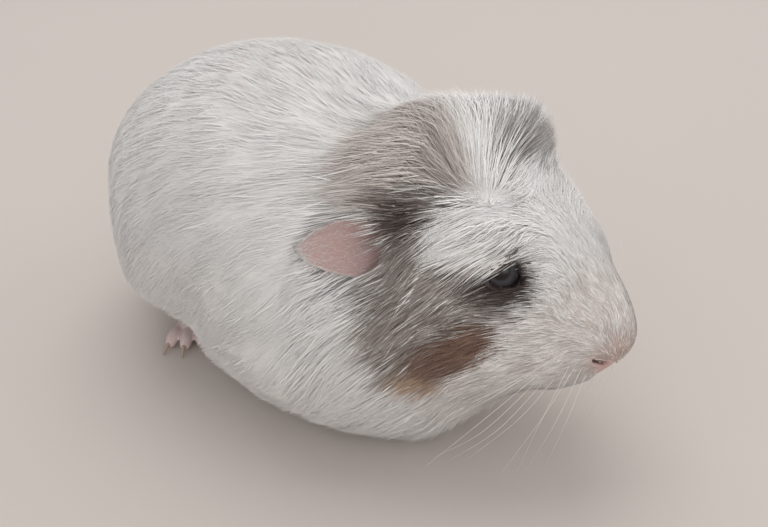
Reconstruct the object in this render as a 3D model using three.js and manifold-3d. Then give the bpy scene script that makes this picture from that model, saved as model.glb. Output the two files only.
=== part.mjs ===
// A crested guinea pig lying at rest, life size, in millimetres: +X to the nose, +Y to its left, +Z up.
// The trunk and head are one lofted body, parted at the rump, neck and muzzle by thin flat gaps. The surface
// is that of the tips of the coat. The body is shaped looking straight ahead and its head is then turned.
import * as THREE from "three";
import { ConvexGeometry } from "three/addons/geometries/ConvexGeometry.js";
import { ParametricGeometry } from "three/addons/geometries/ParametricGeometry.js";
import { mergeVertices } from "three/addons/utils/BufferGeometryUtils.js";
import Module from "manifold-3d";

const wasm = await Module();
wasm.setup();

// ---------------------------------------------------------------- driving dimensions
const GAP = 0.3; // between neighbouring pieces
const ROW_LENGTH = 3.5; // about how far apart the loft's rows are
const SIDES = 28; // facets round the body
const BELLY_LEVEL = 0.8; // lowest point of the coat under the trunk and throat

// Sections of the body from the rump to the muzzle. x and z are the section's centre, w its half width, up
// and down its heights above and below the centre, and tilt how far its front face looks down. Each half is
// a superellipse: top and under are the two exponents, where 2 is an ellipse and more is squarer.
const STATIONS = [
  { name: "rump", x: -64, z: 43, w: 43, up: 41, down: 42, tilt: -8, top: 2.1, under: 2.3 },
  { name: "hips", x: -42, z: 45, w: 52.5, up: 50.5, down: 50, tilt: -3, top: 2.1, under: 2.4 },
  { name: "belly", x: -14, z: 46, w: 55.5, up: 53, down: 53, tilt: 0, top: 2.1, under: 2.5 },
  { name: "ribs", x: 12, z: 46, w: 53, up: 50, down: 54, tilt: 0, top: 2.1, under: 2.5 },
  { name: "shoulder", x: 35, z: 47, w: 46, up: 43, down: 54, tilt: 2, top: 2.1, under: 2.5 },
  { name: "nape", x: 53, z: 50, w: 38, up: 38, down: 56, tilt: 5, top: 2.2, under: 2.4 },
  { name: "crown", x: 67, z: 53, w: 32, up: 28, down: 54, tilt: 8, top: 2.3, under: 2.3 },
  { name: "brow", x: 80, z: 53, w: 28, up: 25.5, down: 43, tilt: 16, top: 2.4, under: 2.3 },
  { name: "bridge", x: 91.5, z: 49.5, w: 23.5, up: 21.5, down: 33.5, tilt: 23, top: 2.4, under: 2.3 },
  { name: "muzzle", x: 100.5, z: 45.5, w: 17.5, up: 16.5, down: 20.5, tilt: 27, top: 2.3, under: 2.3 },
];
const RUMP_CAP = 30; // length of the rounded end behind the first station
const MUZZLE_CAP = 11; // length of the rounded end before the last station
const ROWS_REAR = 5;
const ROWS_MIDDLE = 27;
const ROWS_FRONT = 5;

// Rows of the loft at which the body is parted.
const CUTS = { rump: 8, neck: 20, head: 23, muzzle: 30 };

// Rises and hollows of the surface: where, how wide along x, y and z, and which way the surface is pushed.
// both means the same on both sides; otherwise it is at the y given.
const RELIEF = [
  { name: "cheek", at: [74, 25, 42], wide: [13, 11, 12], push: [0, 4, -1], both: true },
  { name: "brow lock", at: [80, 22, 76], wide: [9, 8, 6], push: [1, 3.5, 3], both: true },
  { name: "eye hollow", at: [84, 27, 63], wide: [7, 9, 6], push: [0, -8, 0], both: true },
  { name: "whisker pad", at: [104, 12, 40], wide: [6, 6, 6], push: [1, 1.5, 0], both: true },
  { name: "ear tuft", at: [56, 31, 80], wide: [8, 9, 8], push: [1, 4, 6], both: true },
  { name: "far ear tuft", at: [62, 31, 84], wide: [8, 9, 8], push: [6, 4, 10], both: false },
  { name: "crest", at: [52, 0, 88], wide: [9, 22, 10], push: [1, 0, 11], both: false },
  { name: "ear hollow", at: [50, 37, 62], wide: [7, 9, 9], push: [0, -10, 0], both: true },
  { name: "bend of the neck", at: [33, 47, 60], wide: [11, 13, 14], push: [0, -10, 0], both: false },
  { name: "chest", at: [62, 0, 14], wide: [12, 20, 14], push: [5, 0, -3], both: false },
  { name: "lower lip", at: [98, 0, 25], wide: [6, 8, 5], push: [2, 0, 1], both: false },
];

// The head turns to its left about the base of the neck.
const NECK = new THREE.Vector3(48, 0, 50);
const NECK_REAR = 4;
const NECK_FRONT = 52;
const HEAD_YAW = 16.5;
const HEAD_PITCH = 3.8;
const HEAD_ROLL = -8;

const EYE = { x: 82.3, y: 16, z: 64.2, radius: 5.6 };

// The ear is a cupped petal: rooted along a line from its front edge to its rear edge.
const EAR = {
  front: [46, 26, 73],
  rear: [48.5, 27, 54.5],
  tip: [37.5, 42.5, 65],
  thick: 1.7,
  cup: 2.4,
  blunt: 0.62, // how round the petal's outline is: smaller is rounder
  sunk: 0.12, // how far its root goes into the coat, as a share of its length
};

const HAUNCH = { at: { left: [-45, 33, 28], right: [-45, 33, 28] }, radii: [26, 21.5, 25.5] };
const SHOULDER = { at: { left: [31, 26, 21], right: [38, 33, 21] }, radii: [14, 15, 19.5] };
const HIND_FOOT = {
  heel: [-55, 18], length: 24, width: 6.2, height: 6.5, splay: { right: 45, left: 32 },
  toes: 3, toe: 9.5, toeRadius: 2.3, spread: 15, claw: 4.2,
};
const FORE_FOOT = {
  heel: [35, 15], length: 9, width: 4.6, height: 5, splay: { right: 4, left: 8 },
  toes: 4, toe: 6, toeRadius: 1.6, spread: 12, claw: 3,
};

const EAR_SIDES = 10; // facets round the ear's rim
const EAR_ROWS = 6; // facets from its root to its tip

const COLOURS = { white: 0xd9d6d0, pink: 0xdcb3ae, skin: 0xd9aaa2, eye: 0x14110f };

// ---------------------------------------------------------------- small helpers
const radians = THREE.MathUtils.degToRad;
const smoothstep = THREE.MathUtils.smoothstep;
const mirrored = (side) => (side === "left" ? 1 : -1);

// One size of the stations at t, from 0 at the first to 1 at the last, on a Catmull-Rom curve.
function sizeAt(key, t) {
  const last = STATIONS.length - 1;
  const i = Math.min(Math.floor(t * last), last - 1);
  const f = t * last - i;
  const value = (k) => STATIONS[THREE.MathUtils.clamp(k, 0, last)][key];
  const [a, b, c, d] = [value(i - 1), value(i), value(i + 1), value(i + 2)];
  return b + 0.5 * f * (c - a + f * (2 * a - 5 * b + 4 * c - d + f * (3 * (b - c) + d - a)));
}

// Turns a point of the straight body as the neck carries it: wholly on the head, where share is 1.
function turned(p, share = smoothstep(p.x, NECK_REAR, NECK_FRONT)) {
  const euler = new THREE.Euler(
    radians(HEAD_ROLL) * share, radians(HEAD_PITCH) * share, radians(HEAD_YAW) * share, "ZYX",
  );
  return p.sub(NECK).applyEuler(euler).add(NECK);
}

// Pushes a point by the rises and hollows near it.
function relieved(p) {
  const base = p.clone();
  for (const r of RELIEF) {
    for (const side of r.both ? [1, -1] : [1]) {
      const d = [base.x - r.at[0], base.y - side * r.at[1], base.z - r.at[2]].map((v, i) => v / r.wide[i]);
      const share = Math.exp(-0.5 * (d[0] ** 2 + d[1] ** 2 + d[2] ** 2));
      p.add(new THREE.Vector3(r.push[0], side * r.push[1], r.push[2]).multiplyScalar(share));
    }
  }
  return p;
}

// ---------------------------------------------------------------- the body's loft
const ROWS = ROWS_REAR + ROWS_MIDDLE + ROWS_FRONT;

// The section at a row of the loft: its station share, how much a rounded end shrinks it, and how far
// beyond the end station it lies.
function rowShape(row) {
  if (row < ROWS_REAR) {
    const a = (row / ROWS_REAR) * (Math.PI / 2);
    return { t: 0, shrink: Math.sin(a), beyond: -RUMP_CAP * Math.cos(a) };
  }
  if (row > ROWS_REAR + ROWS_MIDDLE) {
    const a = ((ROWS - row) / ROWS_FRONT) * (Math.PI / 2);
    return { t: 1, shrink: Math.sin(a), beyond: MUZZLE_CAP * Math.cos(a) };
  }
  return { t: (row - ROWS_REAR) / ROWS_MIDDLE, shrink: 1, beyond: 0 };
}

// A point of the coat's surface in the straight pose. round runs from 0 to 1 about the body, and reach
// scales the section, so that 0 is its centre.
function straightPoint(round, row, reach = 1) {
  const { t, shrink, beyond } = rowShape(row);
  const angle = 2 * Math.PI * round;
  const [cos, sin] = [Math.cos(angle), Math.sin(angle)];
  const [height, exponent] = sin > 0 ? ["up", "top"] : ["down", "under"];
  const power = 2 / sizeAt(exponent, t);
  const tilt = radians(sizeAt("tilt", t));
  const y = Math.sign(cos) * Math.abs(cos) ** power * sizeAt("w", t) * shrink * reach;
  const h = Math.sign(sin) * Math.abs(sin) ** power * sizeAt(height, t) * shrink * reach;
  const p = new THREE.Vector3(
    sizeAt("x", t) + beyond * Math.cos(tilt) + h * Math.sin(tilt),
    y,
    sizeAt("z", t) - beyond * Math.sin(tilt) + h * Math.cos(tilt),
  );
  return reach === 1 ? relieved(p) : p;
}

// A stretch of the loft from one row to another, closed with flat ends.
function bodySegment(fromRow, toRow) {
  const rows = Math.ceil(toRow) - Math.floor(fromRow);
  const surface = (u, v, target) => {
    // The first and last steps of v close the ends on the section's centre.
    const step = v * (rows + 2) - 1;
    const row = THREE.MathUtils.clamp(Math.floor(fromRow) + step, fromRow, toRow);
    const reach = step < -0.5 || step > rows + 0.5 ? 0 : 1;
    target.copy(turned(straightPoint(u, row, reach)));
    target.z = Math.max(target.z, BELLY_LEVEL);
  };
  return new ParametricGeometry(surface, SIDES, rows + 2);
}

// ---------------------------------------------------------------- solids
// A closed three.js geometry as a solid, with its shared vertices merged.
function solid(geometry) {
  const bare = geometry.clone();
  for (const name of ["normal", "uv"]) bare.deleteAttribute(name);
  const merged = mergeVertices(bare, 1e-3);
  const corners = merged.index.array;
  const kept = [];
  for (let i = 0; i < corners.length; i += 3) {
    const [a, b, c] = corners.slice(i, i + 3);
    if (a !== b && b !== c && c !== a) kept.push(a, b, c);
  }
  const mesh = new wasm.Mesh({
    numProp: 3,
    vertProperties: merged.attributes.position.array,
    triVerts: new Uint32Array(kept),
  });
  const made = new wasm.Manifold(mesh);
  if (made.volume() >= 0) return made;
  for (let i = 0; i < kept.length; i += 3) [kept[i], kept[i + 1]] = [kept[i + 1], kept[i]];
  mesh.triVerts = new Uint32Array(kept);
  return new wasm.Manifold(mesh);
}

// A solid as a three.js geometry.
function geometryOf(made) {
  const mesh = made.getMesh();
  const geometry = new THREE.BufferGeometry();
  geometry.setAttribute("position", new THREE.BufferAttribute(mesh.vertProperties, 3));
  geometry.setIndex(new THREE.BufferAttribute(mesh.triVerts, 1));
  geometry.computeVertexNormals();
  return geometry;
}

// The surface of an ellipsoid about a point, with its poles up and down.
function roundSurface(at, radii, segments) {
  const geometry = new THREE.SphereGeometry(1, segments, Math.round(segments * 0.6));
  return geometry.rotateX(Math.PI / 2).scale(...radii).translate(...at);
}

// An ellipsoid about a point, grown all round by grow.
function ellipsoid(at, radii, grow = 0, segments = 14) {
  return solid(roundSurface(at, radii.map((r) => r + grow), segments));
}

// Everything above the floor, as a box to cut flats with.
function aboveFloor() {
  const size = 400;
  return solid(new THREE.BoxGeometry(size, size, size).translate(0, 0, size / 2));
}

// ---------------------------------------------------------------- eyes
function eyeball(side, grow = 0) {
  const at = turned(new THREE.Vector3(EYE.x, mirrored(side) * EYE.y, EYE.z), 1);
  return ellipsoid(at.toArray(), [EYE.radius, EYE.radius, EYE.radius], grow);
}

// ---------------------------------------------------------------- ears
// A cupped petal. u runs from the front edge to the rear edge, v from the root to the tip; the two faces lie
// half the thickness either side of the middle surface and meet along the rim.
function ear(side, grow = 0) {
  const flip = mirrored(side);
  const [front, rear, tip] = [EAR.front, EAR.rear, EAR.tip].map((p) => new THREE.Vector3(...p));
  const middle = front.clone().add(rear).multiplyScalar(0.5);
  const along = rear.clone().sub(front).multiplyScalar(0.5);
  const out = tip.clone().sub(middle);
  const normal = new THREE.Vector3().crossVectors(along, out).normalize();
  const surface = (u, v, target) => {
    // Round the rim: the first half of u is the outer face, the second half the inner face.
    const turn = 2 * Math.PI * u;
    const s = Math.cos(turn);
    const reach = Math.sin((v * Math.PI) / 2);
    const breadth = Math.max(1 - reach ** (1 / EAR.blunt + 1), 0) ** EAR.blunt;
    const thickness = (EAR.thick / 2 + grow) * Math.sin(turn) * Math.sqrt(Math.max(1 - reach ** 8, 0));
    const cupped = EAR.cup * (s * s * breadth - 0.5);
    target
      .copy(middle)
      .addScaledVector(along, s * breadth * (1 + grow / along.length()))
      .addScaledVector(out, (reach * (1 + EAR.sunk) - EAR.sunk) * (1 + grow / out.length()))
      .addScaledVector(normal, thickness + cupped);
    target.y *= flip;
    turned(target, 1);
  };
  return solid(closedRoot(new ParametricGeometry(surface, EAR_SIDES, EAR_ROWS), EAR_SIDES));
}

// Closes the open first row of a tube with a fan.
function closedRoot(tube, sides) {
  const positions = Array.from(tube.toNonIndexed().attributes.position.array);
  const ring = [];
  const points = tube.attributes.position;
  for (let i = 0; i <= sides; i++) ring.push(new THREE.Vector3().fromBufferAttribute(points, i));
  const centre = ring.slice(1).reduce((sum, p) => sum.add(p), new THREE.Vector3()).divideScalar(sides);
  for (let i = 0; i < sides; i++) positions.push(...ring[i + 1], ...ring[i], ...centre);
  const closed = new THREE.BufferGeometry();
  closed.setAttribute("position", new THREE.Float32BufferAttribute(positions, 3));
  return closed;
}

// ---------------------------------------------------------------- legs and feet
const haunch = (side, grow = 0) => leg(HAUNCH, side, grow);
const upperArm = (side, grow = 0) => leg(SHOULDER, side, grow);

function leg(sizes, side, grow) {
  const [x, y, z] = sizes.at[side];
  return ellipsoid([x, mirrored(side) * y, z], sizes.radii, grow);
}

// A tapered round rod between two points, with rounded ends: the hull of a ball at each.
function rod(from, to, fromRadius, toRadius, grow = 0, segments = 6) {
  const corners = [];
  for (const [at, radius] of [[from, fromRadius + grow], [to, toRadius + grow]]) {
    const points = roundSurface(at.toArray(), [radius, radius, radius], segments).attributes.position;
    for (let i = 0; i < points.count; i++) corners.push(new THREE.Vector3().fromBufferAttribute(points, i));
  }
  return solid(new ConvexGeometry(corners));
}

// A foot lying flat: sole, toes fanned about its front, and a claw on each toe.
function foot(sizes, side, grow = 0) {
  const flip = mirrored(side);
  const heading = radians(sizes.splay[side]) * flip;
  const ahead = new THREE.Vector3(Math.cos(heading), Math.sin(heading), 0);
  const heel = new THREE.Vector3(sizes.heel[0], flip * sizes.heel[1], sizes.height * 0.45);
  const ball = heel.clone().addScaledVector(ahead, sizes.length);
  let made = rod(heel, ball, sizes.height * 0.62, sizes.width * 0.62, grow);
  for (let i = 0; i < sizes.toes; i++) {
    const fan = i - (sizes.toes - 1) / 2;
    const way = ahead.clone().applyAxisAngle(new THREE.Vector3(0, 0, 1), radians(sizes.spread) * fan);
    const across = new THREE.Vector3(-ahead.y, ahead.x, 0).multiplyScalar(fan * sizes.toeRadius * 1.5);
    const reach = sizes.toe * (1 - 0.12 * Math.abs(fan));
    const knuckle = ball.clone().add(across).setZ(sizes.toeRadius * 1.25);
    const end = knuckle.clone().addScaledVector(way, reach).setZ(sizes.toeRadius * 0.85);
    const point = end.clone().addScaledVector(way, sizes.claw).setZ(0.6);
    made = made.add(rod(knuckle, end, sizes.toeRadius * 1.1, sizes.toeRadius * 0.9, grow));
    made = made.add(rod(end, point, sizes.toeRadius * 0.5, 0.35, grow, 4));
  }
  return grow > 0 ? made : made.intersect(aboveFloor());
}

// ---------------------------------------------------------------- the whole animal
const SIDE_NAMES = ["left", "right"];
const solids = new Map();
const put = (name, colour, made) => solids.set(name, { colour, made });

// The pieces of the body are parted by the gap, here as a share of a row.
const rowGap = GAP / ROW_LENGTH;
const bodyParts = {
  rump: [0, CUTS.rump - rowGap],
  trunk: [CUTS.rump, CUTS.neck - rowGap],
  neck: [CUTS.neck, CUTS.head - rowGap],
  head: [CUTS.head, CUTS.muzzle - rowGap],
  muzzle: [CUTS.muzzle, ROWS],
};
for (const [name, [from, to]] of Object.entries(bodyParts)) {
  let made = solid(bodySegment(from, to));
  for (const side of SIDE_NAMES) {
    const cutters = [
      ear(side, 1.5 * GAP), eyeball(side, GAP), haunch(side, GAP), upperArm(side, GAP),
      foot(HIND_FOOT, side, GAP), foot(FORE_FOOT, side, GAP),
    ];
    for (const cutter of cutters) made = made.subtract(cutter);
  }
  put(name, COLOURS.white, made);
}
for (const side of SIDE_NAMES) {
  put(`eye_${side}`, COLOURS.eye, eyeball(side));
  put(`ear_${side}`, COLOURS.pink, ear(side));
  put(`hindfoot_${side}`, COLOURS.skin, foot(HIND_FOOT, side));
  put(`forefoot_${side}`, COLOURS.skin, foot(FORE_FOOT, side));
  put(`hindleg_${side}`, COLOURS.white, haunch(side).subtract(foot(HIND_FOOT, side, GAP)));
  put(`foreleg_${side}`, COLOURS.white, upperArm(side).subtract(foot(FORE_FOOT, side, GAP)));
}

const guineaPig = new THREE.Group();
for (const [name, { colour, made }] of solids) {
  // A cut can leave crumbs beside a piece: only its largest body is kept.
  const largest = made.decompose().sort((a, b) => b.volume() - a.volume())[0];
  const roughness = name.startsWith("eye") ? 0.1 : 0.9;
  const material = new THREE.MeshStandardMaterial({ color: colour, roughness, metalness: 0 });
  const mesh = new THREE.Mesh(geometryOf(largest), material);
  mesh.name = name;
  guineaPig.add(mesh);
}

// The origin is on the floor, under the middle of the whole animal.
const box = new THREE.Box3().setFromObject(guineaPig);
const middle = box.getCenter(new THREE.Vector3());
guineaPig.position.set(-middle.x, -middle.y, -box.min.z);

export default guineaPig;
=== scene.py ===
"""A crested guinea pig lying at rest, life size: one skin, eyes, claws, whiskers, and a coat of combed tufts.

Lengths in the tables are millimetres. The body is worked out looking straight ahead, as a loft of sections,
and its head is then turned as the neck carries it, which gives the frame the CAD solids are in.
"""

import bpy
import numpy as np
from mathutils import Matrix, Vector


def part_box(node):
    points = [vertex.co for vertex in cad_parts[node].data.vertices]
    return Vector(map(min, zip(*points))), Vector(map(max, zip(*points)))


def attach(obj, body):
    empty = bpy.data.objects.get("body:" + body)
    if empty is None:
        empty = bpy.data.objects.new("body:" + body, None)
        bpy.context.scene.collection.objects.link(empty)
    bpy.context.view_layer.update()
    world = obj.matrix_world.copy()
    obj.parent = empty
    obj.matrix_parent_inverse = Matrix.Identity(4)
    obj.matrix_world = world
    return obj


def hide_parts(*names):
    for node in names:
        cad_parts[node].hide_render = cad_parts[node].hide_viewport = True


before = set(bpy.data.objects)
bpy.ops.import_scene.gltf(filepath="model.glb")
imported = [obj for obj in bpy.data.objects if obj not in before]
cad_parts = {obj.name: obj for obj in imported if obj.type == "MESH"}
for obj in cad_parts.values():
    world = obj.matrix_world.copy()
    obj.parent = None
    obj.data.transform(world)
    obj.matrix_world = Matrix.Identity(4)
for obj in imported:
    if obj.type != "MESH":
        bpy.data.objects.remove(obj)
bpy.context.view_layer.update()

MM = 0.001
SIDES = {"left": 1, "right": -1}  # the sign of y on each side
SIDES_OF = {"both": (1, -1), "left": (1,), "right": (-1,), "middle": (1,)}  # the sides that a feature is on
rng = np.random.default_rng(7)

# ---------------------------------------------------------------- sizes
# Sections of the coat's surface from rump to muzzle: the section's centre x and z, its half width, its
# heights above and below the centre, its tilt in degrees, and the exponents of its upper and lower halves,
# where 2 is an ellipse. The last number is how deep the coat lies over the skin there.
STATIONS = {
    "rump": (-64, 43, 43, 41, 42, -8, 2.1, 2.3, 8),
    "hips": (-42, 45, 52.5, 50.5, 50, -3, 2.1, 2.4, 8.5),
    "belly": (-14, 46, 55.5, 53, 53, 0, 2.1, 2.5, 8),
    "ribs": (12, 46, 53, 50, 54, 0, 2.1, 2.5, 8),
    "shoulder": (35, 47, 46, 43, 54, 2, 2.1, 2.5, 8),
    "nape": (53, 50, 38, 38, 56, 5, 2.2, 2.4, 8),
    "crown": (67, 53, 32, 28, 54, 8, 2.3, 2.3, 5),
    "brow": (80, 53, 28, 25.5, 43, 16, 2.4, 2.3, 2.8),
    "bridge": (91.5, 49.5, 23.5, 21.5, 33.5, 23, 2.4, 2.3, 1.6),
    "muzzle": (100.5, 45.5, 18.2, 17.2, 20.8, 27, 2.3, 2.3, 0.7),
}
SECTIONS = np.array(list(STATIONS.values()), float)
ROWS_REAR = 5
ROWS_MIDDLE = 27
ROWS_FRONT = 5
ROWS = ROWS_REAR + ROWS_MIDDLE + ROWS_FRONT
RUMP_CAP = 30
MUZZLE_CAP = 11.6
RUMP_START, MUZZLE_START = np.radians((8, 25))
BELLY_LEVEL = 0.8
SKIN_LEVEL = 3.0

# Rises and hollows: where, how wide along x, y and z, how far the surface is pushed, and on which sides.
FLESH_RISES = [
    ((74, 25, 42), (13, 11, 12), (0, 4, -1), "both"),  # cheek
    ((84, 27, 63), (7, 9, 6), (0, -8, 0), "both"),  # eye hollow
    ((104, 12, 40), (6, 6, 6), (1, 1.5, 0), "both"),  # whisker pad
    ((50, 37, 62), (7, 9, 9), (0, -10, 0), "both"),  # ear hollow
    ((33, 47, 60), (11, 13, 14), (0, -10, 0), "left"),  # bend of the neck
    ((62, 0, 14), (12, 20, 14), (5, 0, -3), "middle"),  # chest
    ((98, 0, 25), (6, 8, 5), (2, 0, 1), "middle"),  # lower lip
    ((-45, 50, 25), (18, 8, 16), (0, 3, 0), "both"),  # haunch
    ((38, 46, 21), (10, 6, 12), (0, 3.5, 0), "right"),  # shoulder
    ((112, 0, 48), (5, 5, 6), (1.7, 0, 0), "middle"),  # tip of the nose
    ((-32, 44, 5), (9, 11, 9), (0, -9, 6), "both"),  # fold before the thigh, from the foot upwards
    ((-37, 41, 7), (8, 9, 8), (0, -6, 5), "both"),
    ((-20, 46, 15), (7, 8, 7), (0, -5, 0), "both"),
    ((-8, 51, 26), (7, 8, 7), (0, -4, 0), "right"),
    ((2, 54, 36), (6, 8, 7), (0, -3, 0), "right"),
]
COAT_RISES = [
    ((-57, 44, 9), (12, 9, 9), (-1, 8, -2), "both"),  # long hair at the foot of the haunch
    ((80, 22, 76), (9, 8, 6), (1, 3.5, 3), "both"),  # brow lock
    ((56, 31, 80), (8, 9, 8), (1, 4, 6), "both"),  # ear tuft
    ((62, 31, 84), (10, 10, 10), (10, 9, 10), "left"),  # far ear tuft
    ((70, 25, 86), (7, 8, 8), (5, 4, 1), "left"),
    ((51, 0, 88), (9, 22, 10), (0, 0, 12.5), "middle"),  # crest
]

# The head turns to its left about the base of the neck.
NECK = np.array((48.0, 0.0, 50.0))
NECK_SPAN = (4.0, 52.0)
HEAD_TURN = np.radians((-8.0, 3.8, 16.5))  # roll, pitch and yaw

EYE_AT = np.array((82.3, 16.0, 64.2))
WHORL = np.array((70.4, -3.0, 79.0))
NOSE = np.array((109.5, 0.0, 40.5))


# ---------------------------------------------------------------- small helpers
def unit(vectors):
    """Each vector divided by its own length."""
    return vectors / np.maximum(np.linalg.norm(vectors, axis=-1, keepdims=True), 1e-9)


def smoothstep(low, high, value):
    """0 below low, 1 above high, and 3s^2 - 2s^3 of the share s between them."""
    share = np.clip((value - low) / (high - low), 0.0, 1.0)
    return share * share * (3.0 - 2.0 * share)


def bump(points, at, wide):
    """exp(-d^2 / 2), where d is the distance from at with each axis divided by its width."""
    return np.exp(-0.5 * (((points - np.array(at, float)) / np.array(wide, float)) ** 2).sum(-1))


def waves(points, size, seed, count=7):
    """A smooth noise about 0: the mean of sine waves of about one size, in directions drawn from the seed."""
    draw = np.random.default_rng(seed)
    ways = unit(draw.normal(size=(count, 3))) * (2 * np.pi / size) * draw.uniform(0.6, 1.6, (count, 1))
    phases = draw.uniform(0, 2 * np.pi, count)
    return np.sin(points @ ways.T + phases).mean(-1) * 1.6


def mirrored(place, side):
    """A place or direction given for the left side, as it is on the side with this sign of y."""
    return np.asarray(place, float) * (1, side, 1)


def catmull_rom(knots, at):
    """Knots read at a place counted in knots, on a Catmull-Rom curve through them.

    With f the place's share of the way from b to c, and a and d the knots before and after, it is
    b + f/2 (c - a + f (2a - 5b + 4c - d + f (3(b - c) + d - a))).
    """
    last = len(knots) - 1
    index = np.clip(np.floor(at).astype(int), 0, last - 1)
    f = (at - index)[..., None]
    a, b, c, d = (knots[np.clip(index + k, 0, last)] for k in (-1, 0, 1, 2))
    return b + 0.5 * f * (c - a + f * (2 * a - 5 * b + 4 * c - d + f * (3 * (b - c) + d - a)))


# ---------------------------------------------------------------- the body's surfaces
def sizes_at(t):
    """The section sizes at t, from 0 at the rump station to 1 at the muzzle's, on a Catmull-Rom curve."""
    return catmull_rom(SECTIONS, t * (len(SECTIONS) - 1))


def rounding(share, start):
    """How a rounded end shrinks and how far it reaches, at a share of its rows from its station to its pole.

    An angle a goes from start to a right angle: the section shrinks to cos a / cos start, and it lies
    (sin a - sin start) / (1 - sin start) of the cap's length beyond the station.
    """
    angle = start + np.clip(share, 0, 1) * (np.pi / 2 - start)
    return np.cos(angle) / np.cos(start), (np.sin(angle) - np.sin(start)) / (1 - np.sin(start))


def loft(u, v):
    """Points of the straight body before its rises, and the coat's depth there.

    v runs over the rows, the first and last of which are the rounded ends. Across a section y is
    w |cos|^(2/n) and the height is h |sin|^(2/n) of the angle 2 pi u, with n and h of that half.
    """
    row = v * ROWS
    rear_shrink, rear_reach = rounding(1 - row / ROWS_REAR, RUMP_START)
    front_shrink, front_reach = rounding(1 - (ROWS - row) / ROWS_FRONT, MUZZLE_START)
    t = np.clip((row - ROWS_REAR) / ROWS_MIDDLE, 0, 1)
    shrink = rear_shrink * front_shrink
    beyond = MUZZLE_CAP * front_reach - RUMP_CAP * rear_reach
    x, z, w, up, down, tilt, top, under, depth = np.moveaxis(sizes_at(t), -1, 0)
    cos, sin = np.cos(2 * np.pi * u), np.sin(2 * np.pi * u)
    power = 2 / np.where(sin > 0, top, under)
    y = np.sign(cos) * np.abs(cos) ** power * w * shrink
    h = np.sign(sin) * np.abs(sin) ** power * np.where(sin > 0, up, down) * shrink
    tilt = np.radians(tilt)
    points = np.stack((
        x + beyond * np.cos(tilt) + h * np.sin(tilt),
        y,
        z - beyond * np.sin(tilt) + h * np.cos(tilt),
    ), -1)
    return points, depth


def risen(points, rises):
    """Points pushed by each rise times its bump at the point."""
    pushed = points.copy()
    for at, wide, push, which in rises:
        for side in SIDES_OF[which]:
            pushed += bump(points, mirrored(at, side), wide)[..., None] * mirrored(push, side)
    return pushed


def flesh(u, v, more=()):
    """The flesh's surface in the straight pose: the loft with its rises, narrowed towards the nose.

    Near the muzzle's end a point goes back by 6 (1 - exp(-y^2 / 80)).
    """
    points = risen(loft(u, v)[0], FLESH_RISES + list(more))
    share = smoothstep(94, 111, points[..., 0])
    points[..., 0] -= share * 6.0 * (1 - np.exp(-(points[..., 1] ** 2) / 80))
    return points


def straight_coat(u, v):
    """The coat's surface in the straight pose."""
    return flesh(u, v, COAT_RISES)


def straight_skin(u, v):
    """The skin in the straight pose: the flesh's surface less the coat's depth along its normal.

    The normal is the cross product of the surface's differences along u and along v.
    """
    inner = np.clip(v, 0.004, 0.996)
    step = 0.002
    across = flesh(u + step, inner) - flesh(u - step, inner)
    ahead = flesh(u, inner + step) - flesh(u, inner - step)
    normal = unit(np.cross(across, ahead))
    return flesh(u, v) - normal * loft(u, v)[1][..., None]


def turned(points, share=None):
    """Straight points as the neck carries them: each turned about the neck by its share of the head's turn.

    The share is a smoothstep of x along the neck, and 1 for what is wholly on the head. The rotation is
    yaw about z, of pitch about y, of roll about x.
    """
    if share is None:
        share = smoothstep(*NECK_SPAN, points[..., 0])
    share = np.broadcast_to(share, points.shape[:-1])
    roll, pitch, yaw = (share * angle for angle in HEAD_TURN)
    x, y, z = np.moveaxis(points - NECK, -1, 0)
    y, z = y * np.cos(roll) - z * np.sin(roll), y * np.sin(roll) + z * np.cos(roll)
    x, z = x * np.cos(pitch) + z * np.sin(pitch), z * np.cos(pitch) - x * np.sin(pitch)
    x, y = x * np.cos(yaw) - y * np.sin(yaw), x * np.sin(yaw) + y * np.cos(yaw)
    return np.stack((x, y, z), -1) + NECK


def above(points, level):
    """Points kept at or above a level over the floor."""
    kept = points.copy()
    kept[..., 2] = np.maximum(kept[..., 2], level)
    return kept


# The CAD's origin is under the middle of the animal: the eye says how far that is from the tables' origin.
left_low, left_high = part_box("eye_left")
eye_left_at = np.array(left_low + left_high) / 2 / MM
EYE_RADIUS = (left_high.z - left_low.z) / 2 / MM
ORIGIN = eye_left_at - turned(EYE_AT, 1.0)


# ---------------------------------------------------------------- lids, nostrils and mouth
LID_OPENING = (5.1, 3.9)  # half the opening's length and height
LID_NARROWS = 0.22
LID_SLACK = 0.3  # how far the lids lie off the ball, how high their roll is, and how deep the skin dips in
LID_ROLL = 0.45
LID_DIP = 3.5
EYE_OUT = unit(np.array((0.34, 0.90, 0.26)))
EYE_AHEAD = np.array((0.93, 0.0, -0.36))


def eye_axes(side):
    """The eye's own directions: forwards along the opening, up across it, and outwards."""
    out = mirrored(EYE_OUT, side)
    ahead = unit(EYE_AHEAD - out * (EYE_AHEAD @ out))
    return ahead, unit(np.cross(out, ahead) * side), out


def around_eye(points, side):
    """Distance from the eye's axis, where 1 is the rim of the lids; and the ways out, along and up."""
    ahead, up, out = eye_axes(side)
    offset = points - mirrored(EYE_AT, side)
    along, across, outwards = offset @ ahead, offset @ up, offset @ out
    length, height = LID_OPENING
    # The opening narrows towards its corners like an almond.
    narrowed = height * (1 - LID_NARROWS * smoothstep(0.3, 1.0, np.abs(along) / length))
    return np.sqrt((along / length) ** 2 + (across / narrowed) ** 2), outwards, along, across


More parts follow.
